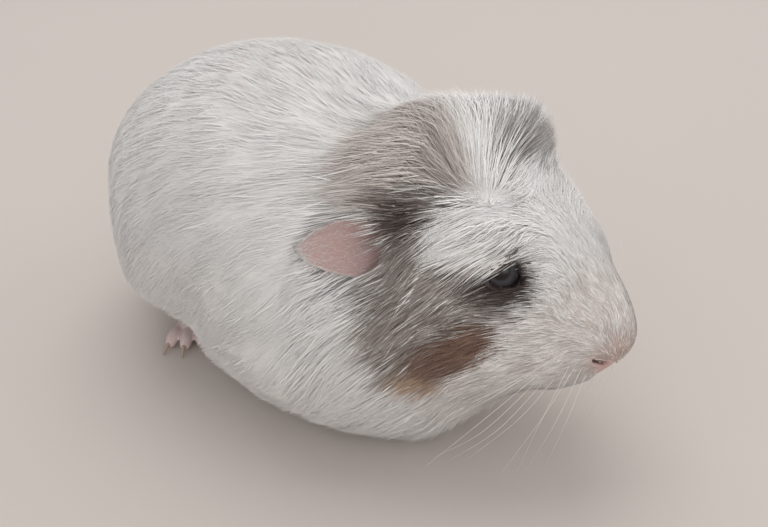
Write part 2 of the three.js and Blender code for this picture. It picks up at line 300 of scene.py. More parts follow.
def lidded(points):
    """Skin laid over the eyeballs: near the lids it follows the ball, with a roll at the rim, and dips in."""
    for side in SIDES.values():
        rim, outwards, along, across = around_eye(points, side)
        out = eye_axes(side)[2]
        over_ball = np.sqrt(np.maximum((EYE_RADIUS + LID_SLACK) ** 2 - along**2 - across**2, 0))
        roll = LID_ROLL * np.exp(-(((rim - 1.14) / 0.12) ** 2))
        inside = LID_DIP * smoothstep(1.04, 0.86, rim)
        wanted = over_ball + roll - inside
        share = (1 - smoothstep(1.2, 2.3, rim)) * (outwards > 0)
        points = points + (share * (wanted - outwards))[..., None] * out
    return points


NOSTRIL_DEPTH = 1.8
NOSTRIL_WING = 0.5
CLEFT_DEPTH = 0.8
MOUTH_DEPTH = 1.4


def nostril_level(side):
    """The height of the nostrils' slits, at a distance to either side of the middle."""
    return 38.4 + 0.5 * side


def within_nostril(value, side):
    """The value within a nostril's length, fading to 0 at both its ends."""
    return value * smoothstep(2.8, 4.0, side) * smoothstep(7.9, 6.9, side)


def bare_nose(points):
    """1 on the bare triangle between the nostrils and the lip's cleft, and 0 off it, at straight points."""
    x, y, z = np.moveaxis(points, -1, 0)
    side = np.abs(y)
    edge = np.minimum(nostril_level(side) + 0.6 - z, (z - 32.2 - 1.25 * side) / 1.4)
    return smoothstep(-0.5, 0.5, edge) * smoothstep(100, 103, x)


def nosed(points):
    """Skin with nostrils, the bare triangle under them, the lip's cleft and the mouth pressed into it."""
    x, y, z = np.moveaxis(points, -1, 0)
    near = smoothstep(100, 104, x)
    side = np.abs(y)
    # Each nostril is a slit along the upper edge of the bare triangle, from the middle up and outwards.
    slit = nostril_level(side)
    nostril = within_nostril(np.exp(-(((z - slit) / 0.6) ** 2)), side)
    wing = np.exp(-(((z - slit - 1.9) / 1.2) ** 2)) * smoothstep(2.4, 4.4, side) * smoothstep(9.8, 7.4, side)
    cleft = np.exp(-((y / 0.6) ** 2)) * smoothstep(38.5, 37, z) * smoothstep(31, 33, z)
    mouth_level = 30.6 - 0.02 * y**2
    mouth = np.exp(-(((z - mouth_level) / 0.8) ** 2)) * smoothstep(92, 97, x) * smoothstep(13, 9, side)
    back = (
        -NOSTRIL_DEPTH * nostril * near + NOSTRIL_WING * wing * near
        - CLEFT_DEPTH * cleft * near - MOUTH_DEPTH * mouth
    )
    return points + np.stack((back, 0 * back, 0 * back), -1)


def worn_skin(u, v):
    """The finished skin in the straight pose."""
    return nosed(lidded(straight_skin(u, v)))


# ---------------------------------------------------------------- surfaces kept as grids to look up
GRID_ROUND = 320
GRID_ALONG = 444
grid_u, grid_v = np.meshgrid(np.arange(GRID_ROUND) / GRID_ROUND, np.linspace(0, 1, GRID_ALONG + 1))
STRAIGHT = straight_coat(grid_u, grid_v)
COAT = above(turned(STRAIGHT), BELLY_LEVEL)
SKIN = above(turned(worn_skin(grid_u, grid_v)), SKIN_LEVEL)


def looked_up(grid, u, v):
    """The grid's value at u, v, blended between the four corners about it. u wraps round."""
    across = (u % 1.0) * GRID_ROUND
    along = np.clip(v, 0, 1) * GRID_ALONG
    i, j = np.floor(across).astype(int), np.minimum(np.floor(along).astype(int), GRID_ALONG - 1)
    f, g = (across - i)[..., None], (along - j)[..., None]
    i, beside = i % GRID_ROUND, (i + 1) % GRID_ROUND
    low = grid[j, i] * (1 - f) + grid[j, beside] * f
    high = grid[j + 1, i] * (1 - f) + grid[j + 1, beside] * f
    return low * (1 - g) + high * g


# ---------------------------------------------------------------- markings
# Patches of colour in the straight pose: colour, place, width along x, y and z, and strength. A negative
# strength is a white patch over the others.
PATCHES = [
    ("grey", (59, -31, 72), (5.5, 6, 8), 1.7),  # before the right ear
    ("grey", (58, -30, 78.5), (5, 5, 3.5), 1.4),  # over the right ear
    ("grey", (65, -24.5, 81), (6, 5, 2.4), 1.2),  # arc behind the brow
    ("dark", (60, -30, 77.5), (4, 5, 3.5), 0.6),
    ("dark", (54, -30, 74), (3.5, 5, 3.5), 0.8),  # painted shade above the right ear's mouth
    ("grey", (54, -30, 66), (4, 5, 6), 1.2),  # under the right ear's mouth
    ("grey", (63, -33, 51), (9, 8, 13), 1.6),  # right cheek
    ("grey", (77, -27, 55), (8, 6, 5), 1.5),  # under the right eye
    ("grey", (64, -33, 34), (6, 7, 7), 1.1),  # right jowl
    ("beige", (50, -21, 87), (8, 9, 8), 1.4),  # side of the crest
    ("beige", (49, -6, 94), (8, 9, 7), 1.2),  # rear of the crest
    ("beige", (61, -11, 90), (7, 6, 8), 1.3),  # top of the crest
    ("beige", (43, -28, 82), (4.2, 6, 4.5), 1.4),  # rear edge of the crest
    ("beige", (40.5, -19, 88), (4, 7, 5), 1.3),
    ("grey", (40.5, -27, 82.5), (2.6, 7, 6), 0.46),
    ("white", (30, -32, 76), (5, 6, 7), 1.2),  # behind the crest
    ("grey", (63, 22, 90), (6, 6, 7), 0.9),  # far ear tuft
    ("grey", (71, 26, 86), (5, 6, 6), 1.0),
    ("grey", (60, 31, 62), (10, 7, 11), 1.2),  # left cheek
    ("grey", (55, 30, 72), (6, 6, 7), 0.8),  # before the left ear
    ("dark", (86.5, -20, 65), (3.5, 5, 4.5), 1.0),  # rim before the right eye
    ("dark", (87.4, -19.5, 63.8), (2.1, 5, 2.6), 1.0),
    ("dark", (80.8, -23, 59.6), (6, 5, 2.6), 1.0),  # rim under the right eye
    ("white", (90, -17.5, 71), (3, 4, 2.4), 1.0),
    ("dark", (85.5, 20, 64), (3, 5, 3), 0.8),
    ("dark", (58.5, -30, 72), (3.5, 5, 6), 1.0),  # painted shade in the mouth of the right ear
    ("brown", (81.5, -29, 48), (4, 5, 3.2), 1.1),  # right jowl, from the eye downwards
    ("brown", (76, -31, 41.5), (4.5, 5, 4), 1.2),
    ("brown", (70, -32, 35), (4.2, 5, 4), 1.1),
    ("tan", (66.5, -31, 28), (5, 5, 3.4), 1.2),
    ("cream", (89.5, -18.8, 70.5), (2.6, 4, 1.8), 0.9),  # over the right eye
    ("cream", (110, 0, 43), (8, 9, 7), 1.0),  # round the nose
    ("cream", (-20, 0, 95), (40, 30, 20), 0.35),  # back
    ("cream", (-80, -25, 60), (20, 25, 25), 0.4),  # rump
    ("white", (77, -17, 78), (6, 6, 5), 2.0),  # brow
    ("white", (70, -26, 73.5), (6.5, 5, 5), 2.0),
    ("white", (63, -31, 65), (3.4, 4, 4), 0.6),
    ("white", (68, 2, 92), (6, 6, 10), 1.4),  # front of the crest
    ("grey", (84, -11, 78), (4, 1.2, 2), 0.5),  # streak on the forehead
]
SNOUT_CREAM = 0.45  # how much cream is mixed into the white of the snout
COARSE_EDGE = 0.22  # how rough the patches' edges are, in large waves and in small ones
FINE_EDGE = 0.16
MARKS = ("grey", "beige", "dark", "tan", "brown", "cream")


def markings(points):
    """Shares of each colour at straight points: patches less the white ones, roughened, as a soft step."""
    shares = {name: np.zeros(points.shape[:-1]) for name in MARKS + ("white",)}
    for name, at, wide, strength in PATCHES:
        shares[name] += strength * bump(points, at, wide)
    rough = COARSE_EDGE * waves(points, 9, 5) + FINE_EDGE * waves(points, 3.5, 6)
    for name in MARKS:
        level = shares[name] * (1 + rough) - shares["white"] + 0.3 * rough * (shares[name] > 0.05)
        shares[name] = smoothstep(0.15, 0.85, level)
    snout = SNOUT_CREAM * bump(points, (104, 0, 50), (14, 20, 16))
    shares["cream"] = np.maximum(shares["cream"], snout)
    return np.stack([shares[name] for name in MARKS], -1)


# ---------------------------------------------------------------- meshes
def mesh_piece(name, points, triangles, material):
    """An object whose mesh has these points, in millimetres in the tables' frame, and these triangles."""
    mesh = bpy.data.meshes.new(name)
    placed = ((points + ORIGIN) * MM).astype(np.float32)
    mesh.vertices.add(len(placed))
    mesh.vertices.foreach_set("co", placed.ravel())
    corners = np.ascontiguousarray(triangles, np.int32)
    mesh.loops.add(corners.size)
    mesh.loops.foreach_set("vertex_index", corners.ravel())
    mesh.polygons.add(len(corners))
    mesh.polygons.foreach_set("loop_start", np.arange(0, corners.size, 3, dtype=np.int32))
    mesh.polygons.foreach_set("use_smooth", np.full(len(corners), True))
    mesh.update(calc_edges=True)
    mesh.materials.append(material)
    piece = bpy.data.objects.new(name, mesh)
    bpy.context.scene.collection.objects.link(piece)
    return piece


def paint(piece, name, values):
    """Up to four numbers kept at each point of a piece's mesh, for its material to read."""
    layer = piece.data.color_attributes.new(name=name, type="FLOAT_COLOR", domain="POINT")
    padded = np.zeros((len(values), 4), np.float32)
    padded[:, : values.shape[1]] = values
    layer.data.foreach_set("color", padded.ravel())


def paint_bare(piece, pink):
    """A limb without markings, and how pink it is."""
    count = len(piece.data.vertices)
    tints = np.zeros((count, 4))
    tints[:, 3] = pink
    paint(piece, "marks", np.zeros((count, 4)))
    paint(piece, "tints", tints)


def lay_out(piece, corner_uv):
    """The unwrap of a piece of the coat: u and v of each corner of each triangle."""
    layer = piece.data.uv_layers.new(name="OFBake")
    layer.data.foreach_set("uv", corner_uv.astype(np.float32).ravel())


def closed_rows(grid):
    """Points and triangles of rows that wrap round, closed at both ends on the middle of the end rows."""
    rows, sides = grid.shape[:2]
    inner = grid[1:-1].reshape(-1, 3)
    points = np.vstack((grid[0].mean(0), inner, grid[-1].mean(0)))
    index = 1 + np.arange((rows - 2) * sides).reshape(rows - 2, sides)
    beside = np.roll(index, -1, 1)
    a, b, c, d = index[:-1], beside[:-1], beside[1:], index[1:]
    quads = np.concatenate((np.stack((a, b, c), -1).reshape(-1, 3), np.stack((a, c, d), -1).reshape(-1, 3)))
    first = np.stack((np.zeros(sides, int), beside[0], index[0]), -1)
    last = np.stack((np.full(sides, len(points) - 1), index[-1], beside[-1]), -1)
    return points, np.concatenate((quads, first, last))


def outwards(points, triangles):
    """Triangles turned to face outwards: the volume they enclose is made positive."""
    a, b, c = (points[triangles[:, k]] for k in range(3))
    volume = (a * np.cross(b, c)).sum()
    return triangles if volume > 0 else triangles[:, ::-1]


# ---------------------------------------------------------------- materials
class Nodes:
    """A material's node tree, with a short way to add a node and to link what feeds it."""

    def __init__(self, name):
        self.material = bpy.data.materials.new(name)
        self.material.use_nodes = True
        self.tree = self.material.node_tree
        self.tree.nodes.clear()
        self.shader = self.add("ShaderNodeBsdfPrincipled")
        output = self.add("ShaderNodeOutputMaterial")
        self.tree.links.new(self.shader.outputs["BSDF"], output.inputs["Surface"])

    def add(self, kind, settings=None, **inputs):
        """A node of this kind. An input is a number, a colour, or another node's output."""
        node = self.tree.nodes.new(kind)
        for key, value in (settings or {}).items():
            setattr(node, key, value)
        for key, value in inputs.items():
            self.feed(node, key.replace("_", " "), value)
        return node

    def feed(self, node, key, value):
        """Sets or links one input, named or numbered."""
        socket = node.inputs[int(key)] if key.isdigit() else node.inputs[key]
        if isinstance(value, bpy.types.NodeSocket):
            self.tree.links.new(value, socket)
        else:
            socket.default_value = value

    def mix(self, share, low, high):
        """Colour low where share is 0 and high where it is 1."""
        node = self.tree.nodes.new("ShaderNodeMix")
        node.data_type = "RGBA"
        for key, value in (("0", share), ("6", low), ("7", high)):
            self.feed(node, key, value)
        return node.outputs[2]

    def math(self, operation, first, second=0.5):
        """One sum of two numbers."""
        node = self.tree.nodes.new("ShaderNodeMath")
        node.operation = operation
        self.feed(node, "0", first)
        self.feed(node, "1", second)
        return node.outputs[0]

    def noise(self, scale, detail):
        """Noise over Object coordinates, about scale waves a metre."""
        place = self.add("ShaderNodeTexCoord").outputs["Object"]
        return self.add("ShaderNodeTexNoise", Vector=place, Scale=scale, Detail=detail).outputs["Fac"]

    def roughened(self, height, strength, depth):
        """A bump of this height over the surface, at most so many metres deep."""
        bumps = self.add("ShaderNodeBump", Height=height, Strength=strength, Distance=depth)
        self.feed(self.shader, "Normal", bumps.outputs["Normal"])

    def finished(self, colour, **settings):
        """The material, with its colour and with the shader's settings that are the same all over."""
        self.feed(self.shader, "Base Color", colour)
        for key, value in settings.items():
            self.feed(self.shader, key.replace("_", " "), value)
        return self.material

    def painted(self, name):
        """The numbers painted on the mesh under this name, one socket each, alpha last."""
        read = self.add("ShaderNodeAttribute", {"attribute_name": name})
        split = self.add("ShaderNodeSeparateColor", Color=read.outputs["Color"])
        return split.outputs[0], split.outputs[1], split.outputs[2], read.outputs["Alpha"]


def rgb(red, green, blue):
    """A colour given in display values from 0 to 255, as the shader's linear one."""
    shown = np.array((red, green, blue)) / 255
    linear = np.where(shown <= 0.04045, shown / 12.92, ((shown + 0.055) / 1.055) ** 2.4)
    return (*map(float, linear), 1.0)


WHITE_HAIR = rgb(251, 250, 248)
WARM_WHITE = rgb(247, 241, 235)
GREY_HAIR = rgb(122, 111, 104)
PALE_GREY_HAIR = rgb(174, 165, 159)
BEIGE_HAIR = rgb(205, 193, 186)
PALE_BEIGE_HAIR = rgb(228, 218, 212)
DARK_HAIR_AND_SHADE = rgb(86, 74, 69)
BROWN_HAIR = rgb(128, 100, 84)
TAN_HAIR = rgb(190, 160, 135)
CREAM_HAIR = rgb(233, 214, 204)
BARE_PINK = rgb(194, 168, 168)
SALMON = rgb(198, 160, 152)


def marked_colour(nodes, base, tone):
    """base with the markings laid over it in turn, as shares painted on the mesh; tone makes them paler."""
    grey, beige, dark, tan = nodes.painted("marks")
    cream, brown, *_ = nodes.painted("tints")
    colour = nodes.mix(cream, base, CREAM_HAIR)
    colour = nodes.mix(beige, colour, nodes.mix(tone, BEIGE_HAIR, PALE_BEIGE_HAIR))
    colour = nodes.mix(grey, colour, nodes.mix(tone, GREY_HAIR, PALE_GREY_HAIR))
    colour = nodes.mix(brown, colour, BROWN_HAIR)
    colour = nodes.mix(tan, colour, TAN_HAIR)
    # The dark share is dark hair and skin, and painted shade in the ears' mouths.
    return nodes.mix(dark, colour, DARK_HAIR_AND_SHADE)


STRAND_LEAN = (0, -0.7, 0)
STRANDS_A_METRE = (110, 1500, 1500)  # along the strands, and across them both ways
TUFT_TONES = 0.07  # how much lighter a tuft whose tone is 1 is than one whose tone is 0


def coat_material(name, lightness, ridged):
    """Hair: its markings, paler to the tip, each tuft a little lighter or darker than the next.

    Where it is one surface it is ridged like strands that lie backwards and down.
    """
    nodes = Nodes(name)
    along, tone = nodes.painted("tints")[2:]
    warm = nodes.math("MULTIPLY", nodes.noise(24, 3), 0.6)
    colour = marked_colour(nodes, nodes.mix(warm, WHITE_HAIR, WARM_WHITE), tone)
    darker = nodes.mix(0.06, colour, rgb(120, 112, 108))
    root = nodes.math("SUBTRACT", 1.0, nodes.math("MULTIPLY", along, 1.6))
    colour = nodes.mix(nodes.math("MAXIMUM", root, 0.0), colour, darker)
    # A lower lightness paints shade, as on the undercoat.
    value = nodes.math("ADD", lightness, nodes.math("MULTIPLY", tone, TUFT_TONES))
    shade = nodes.add("ShaderNodeHueSaturation", Color=colour, Value=value)
    if ridged > 0:
        place = nodes.add("ShaderNodeTexCoord").outputs["Object"]
        lie = nodes.add("ShaderNodeMapping", Vector=place, Rotation=STRAND_LEAN, Scale=STRANDS_A_METRE)
        strands = nodes.add("ShaderNodeTexNoise", Vector=lie.outputs["Vector"], Scale=1.0, Detail=3.0)
        nodes.roughened(strands.outputs["Fac"], ridged, 0.0004)
    return nodes.finished(
        shade.outputs["Color"], Roughness=0.59, Specular_IOR_Level=0.25, Sheen_Weight=0.35,
    )


def skin_material():
    """Skin between the hairs: pale with the coat's markings, pink and finely wrinkled where it is bare."""
    nodes = Nodes("short_haired_skin")
    rim, pink = nodes.painted("tints")[2:]
    colour = marked_colour(nodes, WHITE_HAIR, 0.3)
    mottled = nodes.mix(nodes.noise(420, 4), BARE_PINK, SALMON)
    colour = nodes.mix(pink, colour, mottled)
    # Dark lid rims, and painted shade inside the nostrils.
    colour = nodes.mix(rim, colour, rgb(40, 32, 32))
    nodes.roughened(nodes.noise(1500, 3), 0.35, 0.0003)
    return nodes.finished(colour, Roughness=0.6, Specular_IOR_Level=0.3)


def eye_material():
    """A dark eye: nearly black pupil, smoky grey-brown iris, dark round its edge, and a wet gloss."""
    nodes = Nodes("dark_eye")
    pupil, edge = nodes.painted("tints")[:2]
    iris = nodes.mix(nodes.noise(500, 3), rgb(46, 44, 48), rgb(76, 74, 78))
    colour = nodes.mix(edge, nodes.mix(pupil, iris, rgb(16, 15, 17)), rgb(30, 27, 28))
    return nodes.finished(
        colour, Roughness=0.24, Specular_IOR_Level=0.22, Coat_Weight=0.22, Coat_Roughness=0.16,
    )


def whisker_material():
    """A whisker: glassy white, a little darker in places along it."""
    nodes = Nodes("whisker_hair")
    colour = nodes.mix(nodes.noise(90, 1), rgb(244, 242, 238), rgb(214, 206, 198))
    return nodes.finished(colour, Roughness=0.3)


def claw_material():
    """Horn: pale, clouded with brown."""
    nodes = Nodes("claw_horn")
    colour = nodes.mix(nodes.noise(200, 2), rgb(196, 178, 162), rgb(160, 136, 122))
    return nodes.finished(colour, Roughness=0.35)


def floor_material():
    """A plain pale floor, with the faintest change of tone."""
    nodes = Nodes("pale_floor")
    colour = nodes.mix(nodes.noise(3, 2), rgb(207, 198, 192), rgb(202, 193, 187))
    return nodes.finished(colour, Roughness=0.9, Specular_IOR_Level=0.1)


coat_hair = coat_material("coat_hair", lightness=0.965, ridged=0)
# The undercoat is the short hair painted darker than the long hair, as the shade deep between the hairs.
undercoat_hair_painted_shade = coat_material("undercoat_hair_painted_shade", lightness=0.81, ridged=0.6)
short_haired_skin = skin_material()
dark_eye = eye_material()
claw_horn = claw_material()
whisker_hair = whisker_material()


# ---------------------------------------------------------------- skin
def fine_rows():
    """Rows of the skin, closer together on the head than on the trunk, and closest at the muzzle's end."""
    return np.concatenate((
        np.linspace(0, 0.6, 70, endpoint=False),
        np.linspace(0.6, 0.97, 120, endpoint=False),
        np.linspace(0.97, 1.0, 16),
    ))


SKIN_SIDES = 300


def skin_paint(straight):
    """What is painted on skin at straight points: markings, the dark of the lids, painted shade inside the
    nostrils, and bare pink.
    """
    marks = markings(straight)
    lid_rims_and_nostril_shade = np.zeros(len(straight))
    for side in SIDES.values():
        rim, out, *_ = around_eye(straight, side)
        lid_rims_and_nostril_shade = np.maximum(lid_rims_and_nostril_shade, np.exp(-(((rim - 1.02) / 0.16) ** 2)) * (out > 0))
    snout = 0.7 * smoothstep(13, 4, np.linalg.norm(straight - NOSE, axis=-1))
    nose = bare_nose(straight)
    pink = np.maximum(snout, nose)
    x, y, z = straight.T
    # Painted shade inside the slit of each nostril.
    level = np.exp(-(((z - nostril_level(np.abs(y)) + 0.1) / 0.65) ** 2)) * smoothstep(103, 105, x)
    lid_rims_and_nostril_shade = np.maximum(lid_rims_and_nostril_shade, within_nostril(0.85 * level, np.abs(y)))
    marks[:, 2] = np.maximum(marks[:, 2], 0.36 * nose)
    for side in SIDES.values():
        pink = np.maximum(pink, 0.8 * (ear_mouth(straight, side) < 1.3))
    return marks[:, :4], np.stack((marks[:, 5], marks[:, 4], lid_rims_and_nostril_shade, pink), -1)


def ball(at, radii, rows=40, sides=56):
    """Points of an ellipsoid about at: cos and sin of two angles times the radii, as closed rows."""
    across, down = np.meshgrid(np.linspace(0, 2 * np.pi, sides, endpoint=False), np.linspace(0, np.pi, rows))
    shape = np.stack((np.sin(down) * np.cos(across), np.sin(down) * np.sin(across), np.cos(down)), -1)
    points, triangles = closed_rows(shape * radii)
    return points + at, outwards(points, triangles)


def tube(path, wide, high, sides=18, round_rows=5):
    """A closed tube: an ellipse carried along a path, with rounded ends.

    wide and high are its half sizes at each point of the path. At an end the ellipse shrinks by the sine of
    an angle from a right angle to 0, and lies the cosine of it times the mean half size beyond the end.
    """
    path, wide, high = np.asarray(path, float), np.asarray(wide, float), np.asarray(high, float)
    way = unit(np.gradient(path, axis=0))
    bend = np.linspace(0, np.pi / 2, round_rows, endpoint=False)
    beyond = np.concatenate((-np.cos(bend), np.zeros(len(path)), np.cos(bend)[::-1]))
    shrink = np.concatenate((np.sin(bend), np.ones(len(path)), np.sin(bend)[::-1]))
    at = np.clip(np.arange(len(beyond)) - round_rows, 0, len(path) - 1)
    size = (wide + high)[at] / 2
    centre = path[at] + way[at] * (beyond * size)[:, None]
    across = unit(np.cross((0.0, 0.0, 1.0), way[at]))
    up = np.cross(way[at], across)
    turn = np.linspace(0, 2 * np.pi, sides, endpoint=False)[:, None]
    rows = (
        centre[:, None]
        + across[:, None] * np.cos(turn) * (wide[at] * shrink)[:, None, None]
        + up[:, None] * np.sin(turn) * (high[at] * shrink)[:, None, None]
    )
    points, triangles = closed_rows(rows)
    return points, outwards(points, triangles)


def smooth_path(corners, count):
    """A path of count points on a Catmull-Rom curve through the corners."""
    return catmull_rom(np.asarray(corners, float), np.linspace(0, len(corners) - 1, count))


def joined(parts):
    """Several pairs of points and triangles as one pair."""
    starts = np.cumsum([0] + [len(points) for points, _ in parts[:-1]])
    return (
        np.concatenate([points for points, _ in parts]),
        np.concatenate([triangles + start for (_, triangles), start in zip(parts, starts)]),
    )


HIND_FOOT = {
    "heel": (-55, 18), "length": 24, "width": 6.2, "height": 6.5, "splay": {1: 32, -1: 45},
    "toes": 3, "toe": 9.5, "toe radius": 2.3, "spread": 15, "claw": 4.2,
}
FORE_FOOT = {
    "heel": (35, 15), "length": 9, "width": 4.6, "height": 5, "splay": {1: 8, -1: 4},
    "toes": 4, "toe": 6, "toe radius": 1.6, "spread": 12, "claw": 3,
}
FEET = {"hind": HIND_FOOT, "fore": FORE_FOOT}
LEGS = {  # places and half sizes of the legs' upper parts, a coat's depth smaller than the flesh
    "hind": {1: (-52, 22, 25), -1: (-52, 22, 25), "half sizes": (17, 11, 18)},
    "fore": {1: (33, 19, 20), -1: (37, 22, 20), "half sizes": (8, 8, 15)},
}
FOOT_GRAIN = 0.55  # the grain that a foot's tubes are made one at, and how far its sole is off the floor
SOLE_LEVEL = 0.1
FOOT_PINK = 0.75


def foot_ahead(sizes, side):
    """The way that a foot points."""
    heading = np.radians(sizes["splay"][side]) * side
    return np.array((np.cos(heading), np.sin(heading), 0.0))


def foot_parts(sizes, side):
    """The sole and toes of a foot, and its claws, as tubes along their bones.

    The sole widens from the heel to the ball. A toe rises from its knuckle and comes down to its end, with
    one and a half waves of bulges along it, and a claw goes on from there in a low arch to the floor.
    """
    ahead = foot_ahead(sizes, side)
    beside = np.array((-ahead[1], ahead[0], 0.0))
    up = np.array((0.0, 0.0, 1.0))
    width, height, radius = sizes["width"], sizes["height"], sizes["toe radius"]
    heel = np.array((sizes["heel"][0], side * sizes["heel"][1], height * 0.45))
    ball_of_foot = heel + ahead * sizes["length"]
    sole = smooth_path((heel, heel + ahead * sizes["length"] * 0.5, ball_of_foot), 12)
    share = np.linspace(0, 1, 12)
    flesh_parts = [tube(sole, width * (0.62 + 0.2 * share), height * (0.5 + 0.04 * share))]
    claws = []
    for i in range(sizes["toes"]):
        fan = i - (sizes["toes"] - 1) / 2
        angle = np.radians(sizes["spread"]) * fan
        way = ahead * np.cos(angle) + beside * np.sin(angle)
        reach = sizes["toe"] * (1 - 0.12 * abs(fan))
        knuckle = ball_of_foot + beside * (fan * radius * 1.5)
        knuckle[2] = radius * 1.25
        middle = knuckle + way * reach * 0.55 + up * radius * 0.25
        end = knuckle + way * reach
        end[2] = radius * 0.85
        toe = smooth_path((knuckle - way * 2, knuckle, middle, end), 14)
        share = np.linspace(0, 1, 14)
        bulge = 1.0 + 0.12 * np.sin(3 * np.pi * share)
        wide, high = (1.05 - 0.2 * share, 1.0 - 0.22 * share)
        flesh_parts.append(tube(toe, radius * wide * bulge, radius * high * bulge))
        tip = end + way * (sizes["claw"] + radius * 0.4)
        tip[2] = 0.45
        arch = (end + tip) / 2 + up * 0.7
        claw = smooth_path((end, arch, tip), 12)
        share = np.linspace(0, 1, 12)
        claws.append(tube(claw, radius * (0.5 - 0.4 * share), radius * (0.5 - 0.36 * share), sides=12))
    return flesh_parts, claws


# The ear is a cupped petal, rooted along a line from its front edge to its rear edge.
EAR_FRONT = np.array((46.0, 26.0, 73.0))
EAR_REAR = np.array((48.5, 27.0, 54.5))
EAR_TIP = np.array((37.5, 42.5, 65.0))
EAR_THICK = 1.3
EAR_CUP = 3.0
EAR_BLUNT = 0.60  # the lower, the blunter its tip
EAR_SUNK = 0.65  # how much of its length again is hidden in the head
EAR_ROWS = 44
EAR_SIDES = 60


def ear_axes(side):
    """The ear's middle, its half width along the root, its length outwards, and the way its hollow faces."""
    middle = (EAR_FRONT + EAR_REAR) / 2
    along = (EAR_REAR - EAR_FRONT) / 2
    out = EAR_TIP - middle
    normal = unit(np.cross(along, out))
    return [mirrored(way, side) for way in (middle, along, out, normal)]


def ear_breadth(reach):
    """The ear's half width as a share of its root's: (1 - reach^(1/blunt + 1))^blunt."""
    return (1 - reach ** (1 / EAR_BLUNT + 1)) ** EAR_BLUNT


def ear_surface(u, v, side):
    """The ear in the straight pose: s = cos 2 pi u goes across it and sin v pi/2 from its root to its tip.

    Its thickness goes as sin 2 pi u and thins to the rim, and it is cupped by s^2 with a roll of its upper
    rim and faint waves.
    """
    middle, along, out, normal = ear_axes(side)
    turn = 2 * np.pi * u
    s, reach = np.cos(turn), np.sin(v * np.pi / 2)
    breadth = ear_breadth(reach)
    thick = EAR_THICK / 2 * np.sin(turn) * np.sqrt(np.maximum(1 - reach**8, 0)) * (1.3 - 0.5 * reach)
    cupped = EAR_CUP * (s * s * breadth - 0.5)
    rolled = 0.9 * smoothstep(-0.55, -1.0, s) * reach + 0.5 * np.sin(3.2 * s + 2.0) * reach
    across, beyond, lifted = s * breadth, reach * (1 + EAR_SUNK) - EAR_SUNK, thick + cupped + rolled
    return middle + across[..., None] * along + beyond[..., None] * out + lifted[..., None] * normal


def ear_mouth(points, side):
    """Distance from the middle of the ear's opening, where 1 is its edge, at straight points."""
    return np.linalg.norm((points - mirrored((54.0, 29.0, 69.0), side)) / (3.2, 8.0, 5.0), axis=-1)


def hides_ear(points, side):
    """Whether points of the turned body lie before the ear's hollow side, within its outline."""
    straight_middle, *straight_axes, normal = ear_axes(side)
    middle = turned(straight_middle, 1.0)
    along, out, normal = (turned(straight_middle + axis, 1.0) - middle for axis in (*straight_axes, normal))
    offset = points - middle
    across = offset @ along / (along @ along)
    beyond = offset @ out / (out @ out)
    reach = np.clip((beyond + EAR_SUNK) / (1 + EAR_SUNK), 0, 1)
    breadth = ear_breadth(reach)
    before = offset @ normal
    within = (np.abs(across) < breadth + 0.08) & (beyond > 0.52) & (beyond < 1.05)
    return within & (before > -2.5) & (before < 14)


def merged(skin, others):
    """The skin with other closed meshes made one with it, and then those taken away."""
    for other in others:
        union = skin.modifiers.new("union", "BOOLEAN")
        union.operation = "UNION"
        union.solver = "MANIFOLD"
        union.object = other
    settled = bpy.context.evaluated_depsgraph_get()
    whole = bpy.data.meshes.new_from_object(skin.evaluated_get(settled))
    skin.modifiers.clear()
    skin.data = whole
    whole.set_sharp_from_angle(angle=np.radians(50))
    for other in others:
        bpy.data.objects.remove(other)


def rounded_mesh(piece, grain):
    """A piece of crossing tubes made one smooth mesh of about one grain size."""
    remesh = piece.modifiers.new("remesh", "REMESH")
    remesh.mode = "VOXEL"
    remesh.voxel_size = grain * MM
    smooth = piece.modifiers.new("smooth", "SMOOTH")
    smooth.iterations = 3
    settled = bpy.context.evaluated_depsgraph_get()
    piece.data = bpy.data.meshes.new_from_object(piece.evaluated_get(settled))
    piece.modifiers.clear()


def vertices_of(piece):
    """A piece's points in millimetres in the tables' frame."""
    places = np.empty(len(piece.data.vertices) * 3, np.float32)
    piece.data.vertices.foreach_get("co", places)
    return places.reshape(-1, 3) / MM - ORIGIN


def build_limbs():
    """Legs, feet and ears, painted, ready to be made one with the skin; claws; and the feet's tops.

    A foot's top is its points, their normals and the way it points, for its short hair.
    """
    limbs, claws, foot_tops = [], {}, {}
    for name, sizes in FEET.items():
        for side_name, side in SIDES.items():
            flesh_parts, claw_parts = foot_parts(sizes, side)
            foot = mesh_piece(f"{name}foot", *joined(flesh_parts), short_haired_skin)
            rounded_mesh(foot, FOOT_GRAIN)
            places = above(vertices_of(foot), SOLE_LEVEL)
            foot.data.vertices.foreach_set("co", ((places + ORIGIN) * MM).astype(np.float32).ravel())
            foot.data.update()
            paint_bare(foot, FOOT_PINK)
            limbs.append(foot)
            normals = np.empty(len(places) * 3, np.float32)
            foot.data.vertices.foreach_get("normal", normals)
            foot_tops[f"{name}foot_{side_name}"] = (places, normals.reshape(-1, 3), foot_ahead(sizes, side))
            claw_name = f"{name}claws_{side_name}"
            claws[claw_name] = mesh_piece(claw_name, *joined(claw_parts), claw_horn)
            at, half_sizes = mirrored(LEGS[name][side], side), np.array(LEGS[name]["half sizes"])
            leg = mesh_piece(f"{name}leg", *ball(at, half_sizes), short_haired_skin)
            paint_bare(leg, 0)
            limbs.append(leg)
    u, v = np.meshgrid(np.arange(EAR_SIDES) / EAR_SIDES, np.linspace(0, 1, EAR_ROWS))
    for side in SIDES.values():
        points, triangles = closed_rows(ear_surface(u, v, side))
        points = turned(points, 1.0)
        ear = mesh_piece("ear", points, outwards(points, triangles), short_haired_skin)
        paint_bare(ear, 1)
        limbs.append(ear)
    return limbs, claws, foot_tops


